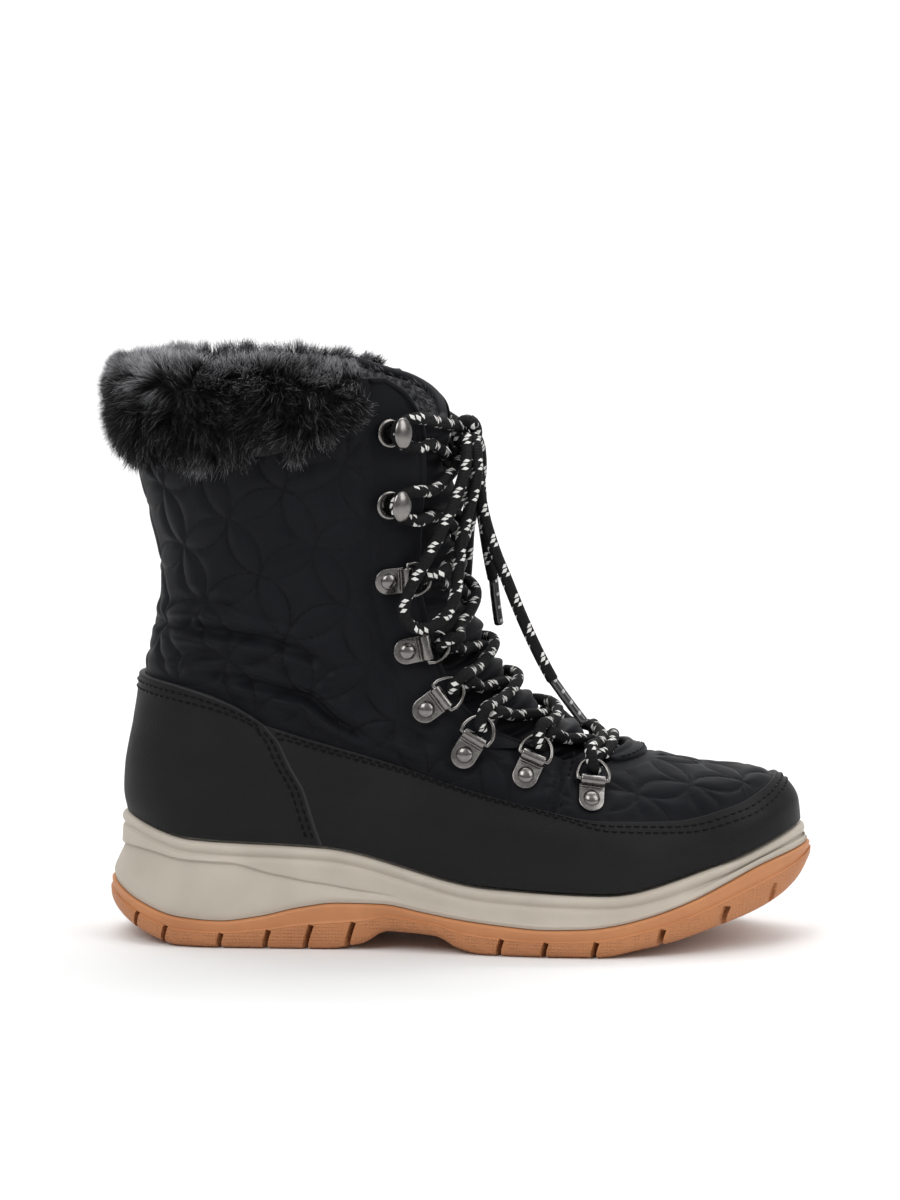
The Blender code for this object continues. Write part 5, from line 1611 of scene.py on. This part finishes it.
def hook_mesh(nickel, dimple_shade):
    """Lace hook: a flat base with a dimple, a neck in front and a domed oval head over both; the dimple takes
    a near-black finish as painted shade.
    """
    sheets = Sheets()
    lathe(sheets, HOOK_BASE, HOOK_SIDES)
    rings, uv = tube_grid(smooth_route(HOOK_NECK, 0.6), HOOK_NECK_RADIUS, sides=18, capped=False)
    sheets.grid(rings * HOOK_NECK_STRETCH, uv, closed=True)
    cos, sin = math.cos(HOOK_HEAD_TILT), math.sin(HOOK_HEAD_TILT)
    tilt = ((cos, 0, sin), (0, 1, 0), (-sin, 0, cos))
    lathe(sheets, HOOK_HEAD, HOOK_SIDES, HOOK_HEAD_STRETCH, (tilt, HOOK_HEAD_PLACE))
    mesh = sheets.mesh("hook", weld=True)
    mesh.materials.append(nickel.material)
    mesh.materials.append(dimple_shade.material)
    # Painted shade: faces in the base's dimple take the near-black finish.
    for face in mesh.polygons:
        across = math.hypot(face.center.x, face.center.y)
        face.material_index = int(across < HOOK_SHADED_DIMPLE[0] * MM and face.center.z < HOOK_SHADED_DIMPLE[1] * MM)
    return mesh


def build_hardware(nickel, dimple_shade):
    """D-rings and lace hooks of both sides."""
    plate, wire, hook = plate_mesh(), wire_mesh(), hook_mesh(nickel, dimple_shade)
    for name, side in SIDES.items():
        for number, row in enumerate(RING_ROWS, start=1):
            place = frame_matrix(ring_frame(row, side))
            for kind, mesh in (("plate", plate), ("wire", wire)):
                node = f"ring_{kind}_{name}_{number}"
                place_piece(node.replace("ring", "d_ring"), mesh, nickel, place, node)
        for number, z in enumerate(HOOK_Z, start=1):
            node = f"lace_hook_{name}_{number}"
            place_piece(node.replace("lace", "speed"), hook, nickel, frame_matrix(hook_frame(z, side)), node)


def place_piece(name, mesh, finish, place, *nodes):
    piece = add_piece(name, mesh, finish, *nodes)
    piece.matrix_world = place
    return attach(piece, "root")


def lace_stops():
    """Turn, level and clearance at which the lace reaches each row, from the bottom up."""
    rows = [side_view_place(r[2], r[3]) + (LACE_RING_CLEAR,) for r in RING_ROWS]
    rows += [side_view_place(HOOK_X, z) + (LACE_HOOK_CLEAR,) for z in HOOK_Z]
    return [tuple(float(value) for value in row) for row in rows]


def shifted_stop(stop, up):
    turn, v, clear = stop
    return turn + clear / float(turn_speed(turn, v)), v + up * LACE_PAIR_SHIFT / float(level_speed(turn, v))


RING_IN_LIFT = 1.2
RING_OUT_LIFT = 5.0
HOOK_LIFT = 6.4
OVER_LIFT = -1.4
UNDER_LIFT = -5.4
BAR_RISE = 0.3
BAR_LIFTS = (-0.3, 1.8)
BAR_PARTS = (0.0, 0.35, 0.7, 0.9)
CROSSING_PARTS = (0.1, 0.24, 0.38, 0.5, 0.62, 0.76, 0.9)
CROSSING_EDGE = 2.6
KNOT_TURNS = 2.15
KNOT_START = 0.6
KNOT_REACH = (3.7, 4.4, 4.9)
KNOT_POINTS = 60
FREE_ENDS = {
    "long": (END_LONG_ROUTE, AGLET_LONG_ROUTE),
    "short": (END_SHORT_ROUTE, AGLET_SHORT_ROUTE),
}


def crossing(stops, k, side, over):
    """Lace from stop k of one side to the next one opposite."""
    start, v_start = shifted_stop(stops[k], 1)
    end, v_end = shifted_stop(stops[k + 1], -1)
    first = RING_OUT_LIFT if k < len(RING_ROWS) else HOOK_LIFT
    last = RING_IN_LIFT if k + 1 < len(RING_ROWS) else HOOK_LIFT
    middle = OVER_LIFT if over else UNDER_LIFT
    points = []
    for t in CROSSING_PARTS:
        turn = start + t * (2 - start - end)
        edge = abs(2 * t - 1) ** CROSSING_EDGE
        lift = (first + (last - first) * t) * edge + middle * (1 - edge)
        points.append(last_offset(side * turn, v_start + t * (v_end - v_start), np.float64(lift)))
    return points


def ring_wrap(row, side):
    """Lace that comes under a ring's bow, up through it and back over it."""
    up = -side
    tip = BARREL_X + RING_REACH
    return list(frame_points(ring_frame(row, side), (
        (tip + 4.2, -1.9 * up, -0.4), (tip + 0.3, -1.8 * up, -1.25), (tip - 3.0, -1.1 * up, 0.4),
        (tip - 3.6, 0.1 * up, 2.4), (tip - 2.4, 1.1 * up, 4.7), (tip + 0.4, 1.8 * up, 5.5),
        (tip + 4.0, 1.9 * up, 5.0))))


def hook_wrap(z, side):
    """Lace behind the neck of a hook, from below to above."""
    up = -side
    return list(frame_points(hook_frame(z, side), (
        (10.5, -5.6 * up, 4.8), (5.4, -4.8 * up, 4.2), (1.8, -3.0 * up, 3.8), (0.7, 0.0, 3.7),
        (1.8, 3.0 * up, 3.8), (5.4, 4.8 * up, 4.2), (10.5, 5.6 * up, 4.8))))


def lace_half(stops, start_side):
    """Route of one half of the lace, from the middle of the bottom bar up to the knot."""
    side = start_side
    turn, v = shifted_stop(stops[0], -1)
    low, high = BAR_LIFTS
    route = []
    for t in BAR_PARTS:
        lift = np.float64(low + (high - low) * t)
        route.append(last_offset(side * (1 + (turn - 1) * t), v + BAR_RISE * (1 - t * t), lift))
    for k in range(len(stops)):
        if k < len(RING_ROWS):
            route += ring_wrap(RING_ROWS[k], side)
        else:
            route += hook_wrap(HOOK_Z[k - len(RING_ROWS)], side)
        if k + 1 < len(stops):
            route += crossing(stops, k, side, over=(k % 2 == 0) == (start_side < 0))
            side = -side
    x, y, z = TOP_STRAND_END
    ease = route[-1] * 0.45 + np.array((x, side * y, z)) * 0.55 + np.array((0.6, side * 1.2, 0))
    return route + [ease, np.array((x, side * y, z)), np.array((x + 2.6, side * y * 0.35, z - 1.6))]


def build_lace(lace, aglet, stops):
    """One lace through the rings and round the hooks, and the bow's knot, loops and ends."""
    lateral, medial = lace_half(stops, -1), lace_half(stops, 1)
    run = smooth_route(lateral[::-1] + medial[1:], LACE_STEP)
    crossings = ["lace_bar", "lace_top_lateral", "lace_top_medial"] + [f"lace_cross_{k}" for k in range(1, 8)]
    add_tube("lace_run", run, LACE_RADIUS, lace, *crossings)
    turns = np.linspace(0, 2 * math.pi * KNOT_TURNS, KNOT_POINTS) + KNOT_START
    wrap = np.stack([np.cos(turns), np.linspace(-1, 1, KNOT_POINTS), np.sin(turns)], axis=-1) * KNOT_REACH
    knot_route = smooth_route(np.array(KNOT_CENTRE) + wrap, LACE_STEP)
    knot = add_tube("lace_knot_wrap", knot_route, LACE_RADIUS, lace, "lace_knot")
    cords = []
    for name, side in SIDES.items():
        route = smooth_route([(x, -side * y, z) for x, y, z in LOOP_ROUTE], LACE_STEP)
        loop = add_tube("lace_bow_" + name, route, LACE_RADIUS, lace, "lace_loop_" + name)
        cords.append((loop, route, "object", ()))
    for name, (path, tip) in FREE_ENDS.items():
        route = smooth_route(path, LACE_STEP)
        free = add_tube("lace_free_" + name, route, LACE_RADIUS, lace, "lace_end_" + name)
        tip_route = smooth_route(tip, LACE_STEP)
        film = add_tube("lace_aglet_" + name, tip_route, AGLET_RADIUS, aglet, "lace_tip_" + name)
        cords.append((free, route, "fitting", (film, knot) if name == "long" else (film,)))
    for piece, route, far_end, others in cords:
        tuple(route[0] * MM)
        [tuple(p) for p in route * MM]


def build_insole(pile):
    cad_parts["insole"].data.materials.clear()
    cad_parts["insole"].data.materials.append(pile.material)


def build_camera():
    azimuth, elevation = math.radians(CAMERA_AZIMUTH), math.radians(CAMERA_ELEVATION)
    flat = math.cos(elevation)
    back = Vector((math.sin(azimuth) * flat, -math.cos(azimuth) * flat, math.sin(elevation)))
    data = bpy.data.cameras.new("camera")
    data.sensor_fit = "VERTICAL"
    data.sensor_height = CAMERA_SENSOR
    data.lens = CAMERA_LENS
    camera = bpy.data.objects.new("camera", data)
    camera.location = (Vector(CAMERA_TARGET) + back * CAMERA_DISTANCE) * MM
    camera.rotation_euler = (-back).to_track_quat("-Z", "Y").to_euler()
    bpy.context.scene.collection.objects.link(camera)
    bpy.context.scene.camera = camera


def area_light(name, place, aim, size, power):
    data = bpy.data.lights.new(name, "AREA")
    data.shape = "RECTANGLE"
    data.size, data.size_y = size
    data.energy = power
    light = bpy.data.objects.new(name, data)
    light.location = place
    light.rotation_euler = (Vector(aim) - Vector(place)).to_track_quat("-Z", "Y").to_euler()
    bpy.context.scene.collection.objects.link(light)


SWEEP_Y = 1.7
SWEEP_ROUND = 1.0
SWEEP_WIDE = 6.0
SWEEP_TALL = 4.0
SKY_LIGHT = (0.3, 0.6)
SKY_FULL_AT = 0.9

# Lights, in metres: place, aim, size and power
LIGHTS = {
    "key": ((-0.7, -1.3, 1.5), (0.08, 0, 0.1), (1.2, 1.2), 19),
    "rim": ((1.3, -0.5, 1.0), (0.1, 0, 0.1), (0.8, 1.2), 9),
    "top": ((0.1, 0.4, 1.7), (0.1, 0, 0.1), (1.6, 1.0), 11),
    "wall": ((0.1, 0.9, 2.3), (0.1, 2.7, 0.5), (3.0, 0.6), 46),
}


def build_stage(floor):
    """Pale floor that sweeps up behind the boot, and soft studio light."""
    bend = [(SWEEP_Y + SWEEP_ROUND * math.sin(t), SWEEP_ROUND - SWEEP_ROUND * math.cos(t))
            for t in np.linspace(0, math.pi / 2, 20)]
    profile = [(-SWEEP_WIDE, 0.0)] + bend + [(SWEEP_Y + SWEEP_ROUND, SWEEP_TALL)]
    mesh = bpy.data.meshes.new("floor")
    corners = [(x, y, z) for y, z in profile for x in (-SWEEP_WIDE, SWEEP_WIDE)]
    faces = [(2 * k, 2 * k + 1, 2 * k + 3, 2 * k + 2) for k in range(len(profile) - 1)]
    mesh.from_pydata(corners, [], faces)
    mesh.shade_smooth()
    mesh.materials.append(floor.material)
    ground = bpy.data.objects.new("floor", mesh)
    bpy.context.scene.collection.objects.link(ground)
    world = bpy.data.worlds.new("studio")
    world.use_nodes = True
    sky = world.node_tree.nodes
    sky["Background"].inputs["Color"].default_value = (1.0, 1.0, 1.0, 1.0)
    place = sky.new("ShaderNodeTexCoord")
    split = sky.new("ShaderNodeSeparateXYZ")
    ramp = sky.new("ShaderNodeMapRange")
    for socket, value in zip(("From Min", "From Max", "To Min", "To Max"), (0.0, SKY_FULL_AT, *SKY_LIGHT)):
        ramp.inputs[socket].default_value = value
    join = world.node_tree.links.new
    join(place.outputs["Generated"], split.inputs[0])
    join(split.outputs["Z"], ramp.inputs["Value"])
    join(ramp.outputs[0], sky["Background"].inputs["Strength"])
    bpy.context.scene.world = world
    bpy.context.scene.view_settings.view_transform = "Standard"
    for name, values in LIGHTS.items():
        area_light(name, *values)


build_camera()
build_stage(floor_finish())
NYLON = nylon_finish()
LEATHER = leather_finish()
PILE = pile_finish()
FUR = fur_finish("hair", (0.0018, 0.0018, 0.0021), (0.52, 0.52, 0.54))
PILE_HAIR = fur_finish("pile_hair", (0.04, 0.04, 0.044), (0.5, 0.5, 0.52))
STOPS = lace_stops()
build_lace(lace_finish(), aglet_finish(), STOPS)
build_outsole(gum_finish())
build_midsole(foam_finish())
build_insole(PILE)
build_upper(NYLON, PILE)
RAND = build_rand(LEATHER)
COUNTER = build_heel_counter(LEATHER)
build_eyestays(NYLON)
BAND = build_throat_overlay(NYLON)
build_tongue(NYLON, PILE, STOPS)
build_stitches(thread_finish(), RAND, COUNTER, BAND)
build_hardware(nickel_finish(), shaded_dimple_finish())
build_fur(felt_finish(), FUR)
build_pile_hairs(PILE_HAIR, STOPS)

bpy.context.view_layer.update()
